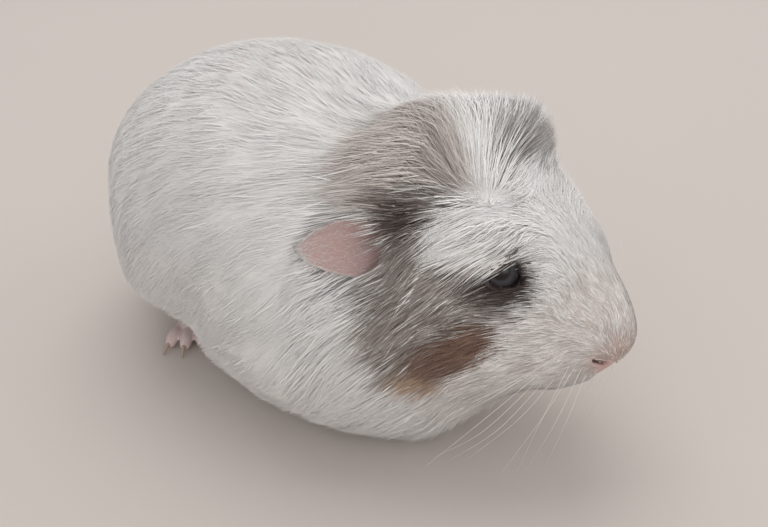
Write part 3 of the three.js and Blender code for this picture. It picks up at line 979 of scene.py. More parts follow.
def build_skin():
    """The body's skin on a grid of rows and sides, made one with the limbs; the claws; the feet's tops."""
    u, v = np.meshgrid(np.arange(SKIN_SIDES) / SKIN_SIDES, fine_rows())
    straight = worn_skin(u, v)
    points, triangles = closed_rows(above(turned(straight), SKIN_LEVEL))
    flat, _ = closed_rows(straight)
    skin = mesh_piece("skin", points, outwards(points, triangles), short_haired_skin)
    marks, tints = skin_paint(flat)
    paint(skin, "marks", marks)
    paint(skin, "tints", tints)
    limbs, claws, foot_tops = build_limbs()
    merged(skin, limbs)
    return skin, claws, foot_tops


def build_eye(side_name, side):
    """An eyeball: a ball where the CAD's is, painted with its pupil and the dark edge of its iris.

    Both are smoothsteps of the cosine of the angle between a point's direction and the eye's gaze.
    """
    low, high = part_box(f"eye_{side_name}")
    middle = np.array(low + high) / 2 / MM - ORIGIN
    points, triangles = ball(middle, np.full(3, EYE_RADIUS))
    eyeball = mesh_piece(f"eyeball_{side_name}", points, triangles, dark_eye)
    eye_at = mirrored(EYE_AT, side)
    gaze = turned(eye_at + eye_axes(side)[2], 1.0) - turned(eye_at, 1.0)
    facing = (points - middle) @ gaze / EYE_RADIUS
    pupil, edge = smoothstep(0.86, 0.93, facing), smoothstep(0.72, 0.58, facing)
    paint(eyeball, "tints", np.stack((pupil, edge), -1))
    return eyeball


skin, claws, foot_tops = build_skin()
eyes = {side_name: build_eye(side_name, side) for side_name, side in SIDES.items()}

# ---------------------------------------------------------------- the lie of the coat
# Where the hair points and how long it is, in the straight pose: place, direction, reach and length.
# Each row holds on both sides unless it is marked.
LIE = [
    ((0, 0, 98), (-1, 0, -0.15), 26, 24, "middle"),  # back
    ((-42, 0, 95), (-1, 0, -0.3), 24, 24, "middle"),  # hips
    ((-80, 0, 75), (-0.8, 0, -0.7), 18, 24, "middle"),  # rump
    ((-96, 0, 40), (-0.2, 0, -1), 20, 22, "middle"),  # tail end
    ((-80, 32, 40), (-0.5, 0.1, -0.9), 18, 24, "both"),
    ((0, 38, 80), (-0.9, 0.35, -0.4), 20, 24, "both"),  # upper flank
    ((-45, 38, 78), (-0.85, 0.35, -0.5), 20, 24, "both"),
    ((0, 54, 45), (-0.75, 0.05, -0.7), 20, 24, "both"),  # flank
    ((-45, 52, 45), (-0.7, 0.05, -0.75), 20, 24, "both"),  # haunch
    ((-50, 48, 18), (-0.45, 0.05, -0.9), 14, 20, "both"),
    ((0, 50, 12), (-0.7, 0, -0.7), 18, 22, "both"),
    ((0, 20, 1), (-1, 0, 0), 22, 18, "both"),  # belly
    ((-50, 20, 1), (-1, 0, 0), 22, 16, "both"),
    ((38, 42, 60), (-0.85, 0.1, -0.5), 14, 24, "both"),  # shoulder
    ((38, 44, 30), (-0.6, 0.1, -0.8), 14, 22, "both"),
    ((50, 30, 8), (-0.7, 0, -0.7), 14, 20, "both"),
    ((36, 0, 92), (-1, 0, -0.2), 8, 13, "middle"),  # nape, under the crest's ends
    ((36, 26, 82), (-0.9, 0.3, -0.4), 8, 13, "both"),
    ((22, 0, 95), (-1, 0, 0), 12, 22, "middle"),
    ((72, 0, 2), (-0.9, 0, -0.3), 14, 16, "middle"),  # throat
    ((80, 10, 12), (-0.9, 0, -0.45), 10, 13, "both"),
    ((92, 5, 20), (-0.95, 0, -0.3), 8, 9, "both"),  # chin
    ((62, 33, 35), (-0.62, 0.1, -0.78), 9, 15, "both"),  # jowl
    ((75, 30, 44), (-0.88, 0.1, -0.45), 8, 13, "both"),  # cheek
    ((87, 23, 50), (-0.97, 0.2, -0.2), 7, 12, "both"),
    ((58, 33, 55), (-0.72, 0.1, -0.68), 8, 14, "both"),
    ((61, 30, 69), (-0.7, 0.4, -0.6), 5, 11, "both"),  # before the ear
    ((98, 16, 42), (-0.97, 0.2, -0.1), 6, 6.5, "both"),  # whisker pad
    ((97, 14, 58), (-0.95, 0.1, 0.25), 6, 4.5, "both"),
    ((96, 0, 68), (-0.9, 0, 0.42), 8, 4.5, "middle"),  # bridge
    ((84, 0, 77), (-0.95, 0, 0.3), 5, 5.5, "middle"),  # forehead
    ((95, 14, 65), (-0.85, 0.25, 0.2), 4, 5, "both"),  # before the eye
    ((88, 15, 73), (-0.55, 0.42, -0.72), 4, 16, "both"),  # lock over the eye
    ((88, 21, 60), (-0.9, 0.2, -0.3), 4.5, 5, "both"),
    ((80, 14, 78), (-0.66, 0.70, -0.25), 6, 17, "both"),  # brow
    ((84, 17, 74), (-0.5, 0.5, -0.7), 4, 17, "both"),
    ((72, 22, 77), (-0.66, 0.62, -0.45), 7, 18, "both"),
    ((66, 29, 71), (-0.5, 0.3, -0.8), 6, 15, "both"),
    ((80, 21, 68), (-0.48, 0.45, -0.76), 5, 13, "both"),
    ((76, 27, 58), (-0.75, 0.3, -0.6), 5, 9, "both"),
]
SHORT_END = 3.2  # length of the hair at the nose's edge
FAN_WEIGHT = 3.0  # how much the fan from the whorl counts, the hair close to it, and the hair about the nose
CLOSE_WEIGHT = 4.0
SNOUT_WEIGHT = 2.0
FAN_FRONT = 0.12  # how much of the fan is left before the whorl
FAN_LENGTH = 9  # length of its hair, how much longer it is behind, and the length close to the whorl
CREST_LONGER = 19
CLOSE_LENGTH = 7


def lie_at(points):
    """The hair's direction and length at straight points: the table's rows weighted by their bumps.

    Round the whorl the hair points straight away from it, and round the nose away from the nose.
    """
    way = np.zeros_like(points)
    length = np.zeros(points.shape[:-1])
    total = np.full(points.shape[:-1], 1e-6)
    for at, toward, reach, long, which in LIE:
        for side in SIDES_OF[which]:
            share = bump(points, mirrored(at, side), (reach,) * 3) + 1e-5 / (reach + 1)
            way += share[..., None] * unit(mirrored(toward, side))
            length += share * long
            total += share
    from_whorl = points - WHORL
    rear = smoothstep(6, -6, from_whorl[..., 0])
    fan = bump(points, WHORL, (24, 22, 20)) * (FAN_FRONT + (1 - FAN_FRONT) * rear) * FAN_WEIGHT
    close = bump(points, WHORL, (5, 5, 5)) * CLOSE_WEIGHT
    from_nose = points - NOSE
    snout = bump(points, NOSE, (7, 8, 8)) * SNOUT_WEIGHT
    way += (fan + close)[..., None] * unit(from_whorl) + snout[..., None] * unit(from_nose)
    length += fan * (FAN_LENGTH + CREST_LONGER * rear) + close * CLOSE_LENGTH + snout * SHORT_END
    total += fan + close + snout
    return unit(way), length / total


def to_chart(u, v, front):
    """A flat chart of either end of the body: distance from its pole, at the angle of u."""
    reach = np.where(front, 1 - v, v)
    return np.stack((reach * np.cos(2 * np.pi * u), reach * np.sin(2 * np.pi * u)), -1)


def from_chart(place, front):
    """u and v of a place in the chart."""
    reach = np.hypot(place[..., 0], place[..., 1])
    u = np.arctan2(place[..., 1], place[..., 0]) / (2 * np.pi)
    return u % 1.0, np.clip(np.where(front, 1 - reach, reach), 0, 1)


NUDGE = 1e-3  # how far apart places are that give a slope of the surface, in the chart
LONGEST_MOVE = 0.05


def stepped(place, front, way, distance):
    """A place moved over the coat's surface by a distance along a direction.

    The chart's two slopes of the surface, J, turn a step d in space into the chart's (J'J)^-1 J'd.
    """
    here = looked_up(STRAIGHT, *from_chart(place, front))
    slopes = [
        (looked_up(STRAIGHT, *from_chart(place + NUDGE * np.array(way_2d), front)) - here) / NUDGE
        for way_2d in ((1, 0), (0, 1))
    ]
    step = way * distance[..., None]
    aa, ab, bb = ((slopes[i] * slopes[j]).sum(-1) for i, j in ((0, 0), (0, 1), (1, 1)))
    da, db = ((slopes[i] * step).sum(-1) for i in (0, 1))
    determinant = np.maximum(aa * bb - ab * ab, 1e-6 * aa * bb + 1e-9)
    move = np.stack(((bb * da - ab * db) / determinant, (aa * db - ab * da) / determinant), -1)
    size = np.linalg.norm(move, axis=-1, keepdims=True)
    return place + move * np.minimum(1.0, LONGEST_MOVE / np.maximum(size, 1e-9))


def rooted(densities):
    """Roots spread over the coat: a cell of the grid gets its area times the density, rounded at random."""
    u, v = (grid_u[:-1] + 0.5 / GRID_ROUND, grid_v[:-1] + 0.5 / GRID_ALONG)
    centre = looked_up(STRAIGHT, u, v)
    across = looked_up(COAT, u + 0.5 / GRID_ROUND, v) - looked_up(COAT, u - 0.5 / GRID_ROUND, v)
    along = looked_up(COAT, u, v + 0.5 / GRID_ALONG) - looked_up(COAT, u, v - 0.5 / GRID_ALONG)
    area = np.linalg.norm(np.cross(across, along), axis=-1)
    wanted = area * hair_density(centre, *densities)
    count = np.floor(wanted + rng.random(area.shape)).astype(int).ravel()
    u = np.repeat(u.ravel(), count) + rng.uniform(-0.5, 0.5, count.sum()) / GRID_ROUND
    v = np.repeat(v.ravel(), count) + rng.uniform(-0.5, 0.5, count.sum()) / GRID_ALONG
    return u % 1.0, np.clip(v, 0.0005, 0.9995)


# Tufts a square millimetre on the body, and how many more there are on the face and on the muzzle; their
# width against a hair's own; their lowest and highest, as shares of the coat's depth; and how quickly they
# rise from the skin.
LAYERS = {
    "under": ((0.10, 0.70, 0.9), 2.5, 0.80, 0.94, 2.5),
    "top": ((1.11, 2.1, 5.0), 0.93, 0.88, 1.07, 2.0),
}


FEWER_UNDER = 0.5  # how many of the tufts the belly goes without


def hair_density(points, body, more_on_face, more_on_muzzle):
    """Tufts a square millimetre: most on the face, where the hair is shortest, and few under the belly."""
    x = points[..., 0]
    face = smoothstep(40, 84, x)
    muzzle = smoothstep(88, 104, x)
    under = smoothstep(6, 1.5, points[..., 2]) * (1 - face)
    return (body + more_on_face * face + more_on_muzzle * muzzle) * (1 - FEWER_UNDER * under)


STOPS = np.array((0.0, 0.18, 0.6, 1.0))  # where along a tuft its rings lie; its two ends are points
SPREAD = np.array((0.0, 0.9, 0.85, 0.0))  # how wide it is there
MIDDLE_STOP = 2  # the stop from which on a tuft's colour is read
STEPS_TO_A_STOP = 2
FRONT_FROM = 0.55  # where v is past this, a tuft is stepped over the chart of the front end

LENGTHS = (0.75, 1.2)  # the shortest and longest hair against the table's length
SWAY_OF_HAIR = 0.09  # how far a hair leans aside, and how far all the hair about it does
SWAY_OF_LOCK = 0.25
UNEVEN = 0.06  # how much higher the coat lies in places
EVEN_DEPTH = 1.1  # deeper than this the coat's hairs still end within the same height of each other
STRAY_SHARE = 0.05  # how many hairs stand off the others, and by how many millimetres at the tip
STRAY_LIFT = 1.3
LOOSE_SHARE = 0.3  # the same for the long hair under the jaw and on the crest
LOOSE_LIFT = 2.4
LOCK_AT = np.array((86.0, 16.5, 73.0))  # the brow lock, how far it stands clear, and the left one's share
LOCK_LIFT = 2.4
LEFT_LOCK = 0.4
ROOT_SUNK = 0.03  # how far a root is sunk into the skin, as a share of the coat's depth


def combed(u, v, lowest, highest, quickness):
    """The tufts' middle lines from roots at u, v: points in the turned frame, and what goes with them.

    That is the coat's own normals, the root, the place that the colour is read at, the length, and whether
    the tuft would hide the eye.

    From its root on the skin a tuft is stepped over the coat's surface along the lie of the coat. At a
    share s of its length it stands h (1 - (1 - s)^q), q the quickness, of the way from the skin to the
    coat's surface. The brow lock is lifted clear of the eye on the way.
    """
    front = v > FRONT_FROM
    place = to_chart(u, v, front)
    root = looked_up(STRAIGHT, u, v)
    way, length = lie_at(root)
    length = length * rng.uniform(*LENGTHS, len(u))
    sway = rng.normal(0, SWAY_OF_HAIR, len(u)) + SWAY_OF_LOCK * waves(root, 14, 21)
    height = highest - (highest - lowest) * rng.random(len(u)) ** 1.4 + UNEVEN * waves(root, 8, 22)
    depth = np.linalg.norm(looked_up(COAT, u, v) - looked_up(SKIN, u, v), axis=-1)
    height = 1 + (height - 1) * np.clip(EVEN_DEPTH / np.maximum(depth, 0.1), 0.3, 1)
    left, right = (bump(root, mirrored(LOCK_AT, side), (5,) * 3) for side in SIDES.values())
    lock = np.maximum(LEFT_LOCK * left, right)
    lock = LOCK_LIFT * smoothstep(0.2, 0.7, lock)
    towards_tip = rng.random((len(u), 1))
    stray = STRAY_LIFT * rng.random(len(u)) * (rng.random(len(u)) < STRAY_SHARE)
    stray *= smoothstep(96, 84, root[:, 0])
    loose = smoothstep(62, 72, root[:, 0]) * smoothstep(34, 24, root[:, 2])
    loose += bump(root, (62, 0, 90), (10, 26, 10))
    stray += loose * LOOSE_LIFT * rng.random(len(u)) * (rng.random(len(u)) < LOOSE_SHARE)
    lines, normals = [], []
    over_eye = np.zeros(len(u), bool)
    for k, stop in enumerate(STOPS):
        if k > 0:
            stride = length * (stop - STOPS[k - 1]) / STEPS_TO_A_STOP
            for _ in range(STEPS_TO_A_STOP):
                spot = looked_up(STRAIGHT, *from_chart(place, front))
                way, _ = lie_at(spot)
                aside = unit(np.cross(way, spot - (40, 0, 45)))
                place = stepped(place, front, unit(way + aside * sway[:, None]), stride)
        here = from_chart(place, front)
        if k >= MIDDLE_STOP:
            straight_here = looked_up(STRAIGHT, *here)
            over_eye |= seen_eye(straight_here)
        if k == MIDDLE_STOP:
            colour_at = straight_here
        elif k > MIDDLE_STOP:
            colour_at = colour_at + towards_tip * (straight_here - colour_at)
        skin_point, coat_point = looked_up(SKIN, *here), looked_up(COAT, *here)
        rise = (height * (1 - (1 - stop) ** quickness))[:, None]
        sunk = -ROOT_SUNK if k == 0 else 0.0
        clear = (lock * np.sqrt(4 * stop * (1 - stop)) + stray * stop**2)[:, None]
        upright = unit(coat_point - skin_point)
        lines.append(skin_point + (coat_point - skin_point) * (rise + sunk) + clear * upright)
        normals.append(upright)
    return np.stack(lines, 1), np.stack(normals, 1), root, colour_at, length, over_eye


TUFT_PATCH = 0.003  # how wide a tuft's patch is on the unwrap, and the unwrap's share of the whole square
UNWRAP_SHARE = 0.996
FLATNESS = 0.25  # a tuft's height as a share of its width
RING_ANGLES = (270, 30, 150)
LOWEST_HAIR = 0.25
SOFTNESS = 1.0  # how much a tuft is shaded by its own roundness
CLUMPS_ROUND = 118
CLUMPS_ALONG = 84
CLUMPED = 0.30  # how much hairs are drawn together at the tip, and how much less on the face
CLUMPED_LESS = 0.08
LOCK_EDGE = np.array((81.6, 0.0, 66.6))  # the brow lock's lower edge passes here, and below it is this way
BELOW_LOCK = np.array((0.837, 0.0, -0.548))


def clumped(lines, u, v, root):
    """Lines drawn together towards their tips: each moves towards the mean line of its cell of the coat.

    With them comes a number from -0.5 to 0.5 that the hairs of a cell share.
    """
    wander = waves(root, 6, 31), waves(root, 6, 32)
    across = np.floor(u * CLUMPS_ROUND + 0.8 * wander[0]).astype(int) % CLUMPS_ROUND
    along = np.floor(v * CLUMPS_ALONG + 0.8 * wander[1]).astype(int)
    cell = np.unique(across + CLUMPS_ROUND * (along + 5), return_inverse=True)[1].ravel()
    members = np.maximum(np.bincount(cell), 1)
    middle = np.stack([
        np.bincount(cell, lines[:, k, axis]) / members
        for k in range(lines.shape[1]) for axis in range(3)
    ], -1).reshape(-1, lines.shape[1], 3)
    pull = CLUMPED - CLUMPED_LESS * smoothstep(70, 90, root[:, 0])
    draw = pull[:, None, None] * (STOPS**1.3)[None, :, None]
    return lines + draw * (middle[cell] - lines), rng.random(len(members))[cell] - 0.5


def seen_eye(points):
    """Whether straight points lie over the part of an eye that the brow lock leaves open, give or take."""
    over = np.zeros(points.shape[:-1], bool)
    for side in SIDES.values():
        rim, out, *_ = around_eye(points, side)
        below_lock = (points - LOCK_EDGE) @ BELOW_LOCK
        over |= (rim < 1.1) & (out > 0) & (below_lock > rng.normal(2.0, 0.8, len(points)))
    return over


def tuft_mesh(name, lines, normals, width, marks, tints, u, v, slot="coat"):
    """Closed tufts along lines: three-sided rings about the line, and a point at each end.

    A ring's corners stand at three angles about the line, with a flat side up: the cosine goes across by
    half the width, and the sine up by FLATNESS of that.
    """
    count, stops = lines.shape[:2]
    ahead = unit(np.gradient(lines, axis=1))
    across = unit(np.cross(ahead, normals))
    up = np.cross(across, ahead)
    rings = stops - 2
    angles = np.radians(RING_ANGLES)
    spread = 0.5 * width[:, None] * SPREAD[1:-1]
    ring = (
        lines[:, 1:-1, None]
        + across[:, 1:-1, None] * (spread[:, :, None, None] * np.cos(angles)[:, None])
        + up[:, 1:-1, None] * (FLATNESS * spread[:, :, None, None] * np.sin(angles)[:, None])
    ).reshape(count, rings * 3, 3)
    points = np.concatenate((lines[:, :1], ring, lines[:, -1:]), 1)
    per = 2 + rings * 3
    corners = []
    for k in range(3):
        n = (k + 1) % 3
        corners.append((0, 1 + k, 1 + n))
        for r in range(rings - 1):
            a, b = 1 + 3 * r + k, 1 + 3 * r + n
            corners += [(a, b + 3, b), (a, a + 3, b + 3)]
        corners.append((1 + 3 * (rings - 1) + n, 1 + 3 * (rings - 1) + k, per - 1))
    corners = np.array(corners)
    triangles = (corners[None] + per * np.arange(count)[:, None, None]).reshape(-1, 3)
    piece = mesh_piece(name, above(points.reshape(-1, 3), LOWEST_HAIR), triangles, coat_hair)
    # The coat is lit as one soft surface: each normal is the coat's own and the tuft's together.
    own = np.concatenate((lines[:, :1] * 0, (ring - np.repeat(lines[:, 1:-1], 3, 1)), lines[:, -1:] * 0), 1)
    spread_normals = normals[:, np.concatenate(((0,), np.repeat(np.arange(1, stops - 1), 3), (stops - 1,)))]
    soft = unit(spread_normals + SOFTNESS * unit(own))
    layer = piece.data.attributes.new("custom_normal", "FLOAT_VECTOR", "POINT")
    layer.data.foreach_set("vector", soft.astype(np.float32).ravel())
    along = np.concatenate(((0.0,), np.repeat(STOPS[1:-1], 3), (1.0,)))
    paint(piece, "marks", np.repeat(marks[:, :4], per, 0))
    tints = np.repeat(tints[:, None], per, 1)
    tints[:, :, 2] = along
    paint(piece, "tints", tints.reshape(-1, 4))
    # On the unwrap each tuft is a small patch where its root is on the skin.
    aside = np.concatenate(((0.5,), np.tile((0.0, 0.5, 1.0), rings), (0.5,)))
    patch = TUFT_PATCH * np.stack((along, aside), -1)
    corner_uv = np.stack((u, v), -1)[:, None] * UNWRAP_SHARE + patch[None]
    lay_out(piece, corner_uv.reshape(-1, 2)[triangles.ravel()])
    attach(piece, "root")
    return piece


COAT_PARTS = {
    "tail": 0.11, "rump": 0.19, "hips": 0.27, "loin": 0.35, "back": 0.43, "ribs": 0.51, "shoulders": 0.60,
    "crest": 0.67, "crown": 0.73, "cheeks": 0.80, "face": 0.88, "muzzle": 1.01,
}


PALE_SHARE = 0.14  # how many hairs of the grey are pale, and how grey those are
PALE_GREYNESS = 0.2


def hair_marks(points):
    """The markings of hairs at points: mixed hair by hair at a patch's edge, with pale hairs in the grey."""
    marks = markings(points + rng.normal(0, 1.1, points.shape))
    roll = rng.normal(0, 0.2, (len(points), 1)) * ((marks > 0.05) & (marks < 0.97))
    marks = smoothstep(0.25, 0.75, marks + roll)
    marks[:, 0] *= np.where(rng.random(len(points)) < PALE_SHARE, PALE_GREYNESS, 1.0)
    return marks


TRUNK_SHADE = 1.5  # how much the trunk's hair is darkened as painted shade, a dark single hair of the cheek, and the nose's edge
SINGLE_TONE = 1.4
NOSE_TONE = 0.8
SINGLE_SHARE = 0.2  # how many hairs of the cheek are dark
CLUMP_TONES = (0.5, 2.4, 2.0)  # how clumps differ everywhere, and how much more on the cheek and the muzzle
TUFT_WIDTHS = (0.10, 0.26)  # the narrowest and widest tuft


def layer_of_coat(densities, wide, lowest, highest, quickness):
    """One layer of the coat: rooted, combed and clumped tufts, less those that would stand on bare places."""
    u, v = rooted(densities)
    lines, normals, root, colour_at, length, over_eye = combed(u, v, lowest, highest, quickness)
    lines, clump_tone = clumped(lines, u, v, root)
    bare = (bare_nose(root) > 0.25) | over_eye | seen_eye(colour_at)
    bare |= np.linalg.norm(root - WHORL, axis=-1) < 0.6
    for side in SIDES.values():
        rim, out, *_ = around_eye(root, side)
        bare |= (rim < 1.2) & (out > -3)
        bare |= ear_mouth(root, side) < 1
        for k in range(1, len(STOPS)):
            bare |= hides_ear(lines[:, k], side)
    keep = ~bare
    width = np.clip(0.07 + 0.008 * length, *TUFT_WIDTHS) * wide * rng.uniform(0.7, 1.3, len(u))
    marks = hair_marks(colour_at)
    # The trunk's hair is darkened here as painted shade.
    tone = np.clip(0.5 + 0.28 * rng.normal(size=len(u)), 0, 1) - TRUNK_SHADE * smoothstep(56, 36, root[:, 0])
    cheek = smoothstep(72, 84, root[:, 0]) * smoothstep(69, 58, root[:, 2])
    muzzle = smoothstep(84, 92, root[:, 0])
    everywhere, on_cheek, on_muzzle = CLUMP_TONES
    tone -= SINGLE_TONE * (rng.random(len(u)) < SINGLE_SHARE * cheek)
    clump_share = everywhere + on_cheek * cheek + on_muzzle * muzzle
    tone += clump_tone * clump_share - NOSE_TONE * bump(root, NOSE, (7, 8, 7))
    marks[:, 5] = np.maximum(marks[:, 5], cheek * (0.35 - clump_tone) * 0.6)
    tints = np.stack((marks[:, 5], marks[:, 4], 0 * tone, tone), -1)
    return [a[keep] for a in (lines, normals, width, marks, tints, u, v)]


def build_coat():
    """The whole coat: its layers, parted into pieces by where the roots lie."""
    layers = [layer_of_coat(*sizes) for sizes in LAYERS.values()]
    whole = [np.concatenate(pair) for pair in zip(*layers)]
    v = whole[-1]
    start = 0.0
    for name, end in COAT_PARTS.items():
        part = (v >= start) & (v < end)
        tuft_mesh(f"coat_{name}", *(a[part] for a in whole))
        start = end


build_coat()


UNDERCOAT_LEVEL = 0.83  # how far up the coat's depth the dense short hair reaches
UNDERCOAT_END = (48, 36)  # where along the neck it ends
UNDERCOAT_SUNK = 0.5  # how far it lies under the skin past its end
UNDERCOAT_CLEAR = 0.4  # how far it stays above the flat of the belly
UNDERCOAT_ROWS = 140
UNDERCOAT_SIDES = 160


def build_undercoat():
    """The dense short hair between the long hairs: one closed surface part of the way up the coat's depth.

    It lies over the trunk, and dips under the skin at the neck and about the ears. Its unwrap is its u and v,
    and u goes on past 1 in the triangles that cross the seam.
    """
    u, v = np.meshgrid(np.arange(UNDERCOAT_SIDES) / UNDERCOAT_SIDES, np.linspace(0, 1, UNDERCOAT_ROWS))
    straight = looked_up(STRAIGHT, u, v)
    inner, outer = looked_up(SKIN, u, v), looked_up(COAT, u, v)
    present = smoothstep(*UNDERCOAT_END, straight[..., 0] + 3 * waves(straight, 9, 41))
    for side in SIDES.values():
        present = present * smoothstep(1.5, 2.8, ear_mouth(straight, side))
    level = (UNDERCOAT_LEVEL * present)[..., None]
    sunk = (UNDERCOAT_SUNK * (1 - present))[..., None]
    grid = inner + (outer - inner) * level - unit(outer - inner) * sunk
    points, triangles = closed_rows(above(grid, BELLY_LEVEL + UNDERCOAT_CLEAR))
    flat, _ = closed_rows(straight)
    triangles = outwards(points, triangles)
    # Its material darkens the coat's colours as painted shade deep in the coat.
    piece = mesh_piece("undercoat", points, triangles, undercoat_hair_painted_shade)
    marks = markings(flat)
    half = np.full(len(flat), 0.5)
    paint(piece, "marks", marks[:, :4])
    paint(piece, "tints", np.stack((marks[:, 5], marks[:, 4], half, half), -1))
    unwrapped, _ = closed_rows(np.stack((u, v, 0 * u), -1))
    corner_uv = unwrapped[triangles.ravel(), :2].reshape(-1, 3, 2)
    over_seam = np.ptp(corner_uv[..., 0], axis=1) > 0.5
    corner_uv[..., 0] += over_seam[:, None] * (corner_uv[..., 0] < 0.5)
    lay_out(piece, corner_uv * UNWRAP_SHARE)
    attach(piece, "root")


build_undercoat()


def fuzz(name, points, ways, uprights, length, lift, u, v, slot):
    """Short hair lying along ways over points: it stands off the surface by lift times its length."""
    count = len(points)
    length = length * rng.uniform(0.6, 1.25, count)
    scatter = 0.2 * rng.normal(size=(count, 3))
    along = unit(ways + scatter - uprights * ((ways + scatter) * uprights).sum(-1, keepdims=True))
    reach = (length[:, None] * STOPS)[..., None]
    stand = (lift * length[:, None] * (1 - (1 - STOPS) ** 2))[..., None]
    lines = points[:, None] + along[:, None] * reach + uprights[:, None] * stand
    normals = np.repeat(uprights[:, None], len(STOPS), 1)
    width = rng.uniform(0.04, 0.075, count)
    tints = np.stack((np.full(count, 0.2), np.zeros(count), np.zeros(count), rng.random(count)), -1)
    return tuft_mesh(name, lines, normals, width, np.zeros((count, 6)), tints, u, v, slot)


def build_ear_fuzz(side_name, side, count=3000):
    """Fine short hair over both faces of an ear, lying from its root to its rim."""
    u, v = rng.random(count), 0.22 + 0.76 * rng.random(count)
    step = 1e-3
    at = turned(ear_surface(u, v, side), 1.0)
    ahead = turned(ear_surface(u, v + step, side), 1.0) - at
    beside = turned(ear_surface(u + step, v, side), 1.0) - at
    upright = unit(np.cross(ahead, beside)) * side
    fuzz(f"ear_fuzz_{side_name}", at, unit(ahead), upright, 1.6, 0.16, u, v, "ear_skin")


def build_foot_fuzz(foot_tops, count=700):
    """Short hair over the tops of the feet, lying towards the toes."""
    for name, (places, normals, ahead) in foot_tops.items():
        top = np.flatnonzero((normals[:, 2] > -0.1) & (places[:, 2] > 1.2))
        picked = rng.choice(top, count)
        at, upright = places[picked], unit(normals[picked].astype(float))
        from_toe = (places[top] @ ahead).max() - at @ ahead
        length = 1.1 + 0.05 * from_toe
        spread = at - places[top].mean(0)
        u, v = 0.5 + spread[:, 0] / 60, 0.5 + spread[:, 1] / 60
        fuzz(f"{name}_fuzz", at, np.tile(ahead, (count, 1)), upright, length, 0.15, u, v, "foot_skin")


for side_name, side in SIDES.items():
    build_ear_fuzz(side_name, side)
build_foot_fuzz(foot_tops)

# ---------------------------------------------------------------- whiskers
# Each whisker's root, a place on its way and its tip, in the straight pose, on the left side.
WHISKERS = [
    ((104, 11, 42), (101, 20, 30), (92, 23, 8)),
    ((103, 12, 43), (101, 22, 29), (95, 19, 8)),
    ((105, 10, 40), (103, 18, 26), (97, 17, 9)),
    ((106, 9, 38), (105, 15, 26), (100.5, 13, 9)),
    ((101, 13, 40), (95, 22, 27), (82, 25, 9)),
    ((98, 14, 37), (90, 23, 22), (78, 26, 8)),
    ((96, 15, 36), (86, 24, 20), (74, 27, 8)),
    ((102, 13, 46), (97, 30, 44), (84, 44, 34)),
    ((101, 13, 48), (95, 31, 50), (80, 46, 44)),
    ((100, 14, 44), (92, 32, 38), (76, 44, 24)),
    ((102, 12, 50), (98, 28, 58), (86, 42, 60)),
    ((99, 14, 42), (90, 29, 30), (78, 40, 14)),
]


WHISKER_THICK = 0.09  # half its thickness at the root, and how much of that it loses to its tip
WHISKER_TAPER = 0.85
WHISKER_STOPS = 26


def build_whiskers(side_name, side):
    """Whiskers as fine round hairs that taper evenly towards their tips, carried along their curves."""
    parts = []
    thick = WHISKER_THICK * (1 - WHISKER_TAPER * np.linspace(0, 1, WHISKER_STOPS))
    for corners in WHISKERS:
        path = turned(smooth_path(mirrored(corners, side), WHISKER_STOPS), 1.0)
        parts.append(tube(above(path, 0.4), thick, thick, sides=6, round_rows=2))
    points, triangles = joined(parts)
    whiskers = mesh_piece(f"whiskers_{side_name}", points, triangles, whisker_hair)
    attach(whiskers, "root")


for side_name, side in SIDES.items():
    build_whiskers(side_name, side)

# ---------------------------------------------------------------- riding and standing for the solids
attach(skin, "root")
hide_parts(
    "rump", "trunk", "neck", "head", "muzzle", "ear_left", "ear_right", "hindleg_left",
    "hindleg_right", "foreleg_left", "foreleg_right", "hindfoot_left", "hindfoot_right",
    "forefoot_left", "forefoot_right",
)
for claw in claws.values():
    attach(claw, "root")
for side_name, eyeball in eyes.items():
    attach(eyeball, "root")
    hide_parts(f"eye_{side_name}")

# ---------------------------------------------------------------- floor, light and camera
floor_corners = 9000.0 * np.array(((-1, -1, 0), (1, -1, 0), (1, 1, 0), (-1, 1, 0)))
floor = mesh_piece("floor", floor_corners - ORIGIN, np.array(((0, 1, 2), (0, 2, 3))), floor_material())


def soft_light(name, at, towards, size, power, colour):
    """A square lamp of a size in metres and a power in watts, at a place and facing another."""
    lamp = bpy.data.lights.new(name, "AREA")
    lamp.shape = "SQUARE"
    lamp.size = size
    lamp.energy = power
    lamp.color = colour
    lamp.specular_factor = 0.25
    holder = bpy.data.objects.new(name, lamp)
    back = unit(np.array(at, float) - np.array(towards, float))
    right = unit(np.cross((0.0, 0.0, 1.0), back) + (1e-6, 0, 0))
    frame_rows = np.column_stack((right, np.cross(back, right), back))
    holder.matrix_world = Matrix.Translation(at) @ Matrix(frame_rows.tolist()).to_4x4()
    bpy.context.scene.collection.objects.link(holder)


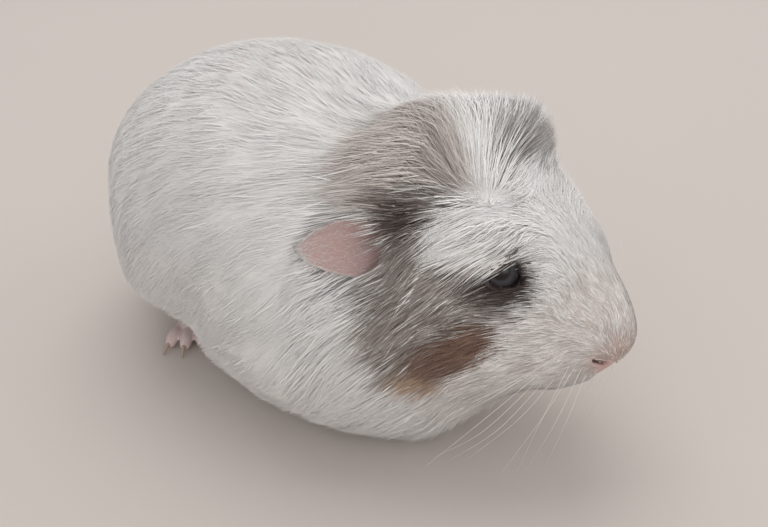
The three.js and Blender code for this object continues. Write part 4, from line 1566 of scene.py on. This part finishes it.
LAMPS = {
    "window": ((-0.35, 0.25, 1.1), (0, 0, 0.04), 1.0, 5.6, (1.0, 0.99, 0.97)),
    "fill": ((1.0, -1.1, 0.6), (0, 0, 0.04), 1.6, 2.0, (0.98, 0.99, 1.0)),
    "front": ((0.9, 0.9, 0.8), (0, 0, 0.04), 1.2, 2.2, (1.0, 0.99, 0.98)),
    "low": ((1.0, -0.5, 0.42), (0.04, 0, 0.04), 0.6, 2.3, (1.0, 0.98, 0.96)),
}
for name, lamp in LAMPS.items():
    soft_light(name, *lamp)

world = bpy.data.worlds.new("pale_room")
world.use_nodes = True
room = world.node_tree.nodes["Background"]
room.inputs["Color"].default_value = (0.97, 0.97, 0.985, 1.0)
room.inputs["Strength"].default_value = 0.62
bpy.context.scene.world = world
bpy.context.scene.view_settings.view_transform = "Standard"

CAMERA_TARGET = np.array((24.99, -1.618, 43.444)) * MM
CAMERA_DISTANCE = 305.254 * MM
CAMERA_AZIMUTH, CAMERA_ELEVATION, CAMERA_ROLL = np.radians((53.263, 30.316, -5.282))
CAMERA_LENS = 47.55

camera_data = bpy.data.cameras.new("camera")
camera_data.lens = CAMERA_LENS
camera_data.sensor_width = 36
camera_data.clip_start = 0.01
camera = bpy.data.objects.new("camera", camera_data)
cos_a, sin_a = np.cos(CAMERA_AZIMUTH), np.sin(CAMERA_AZIMUTH)
back = np.array((
    sin_a * np.cos(CAMERA_ELEVATION), -cos_a * np.cos(CAMERA_ELEVATION), np.sin(CAMERA_ELEVATION),
))
right = np.array((cos_a, sin_a, 0.0))
upright = np.cross(back, right)
rolled_right = np.cos(CAMERA_ROLL) * right + np.sin(CAMERA_ROLL) * upright
rolled_up = np.cos(CAMERA_ROLL) * upright - np.sin(CAMERA_ROLL) * right
facing = Matrix(np.column_stack((rolled_right, rolled_up, back)).tolist()).to_4x4()
camera.matrix_world = Matrix.Translation(CAMERA_TARGET + CAMERA_DISTANCE * back) @ facing
bpy.context.scene.collection.objects.link(camera)
bpy.context.scene.camera = camera
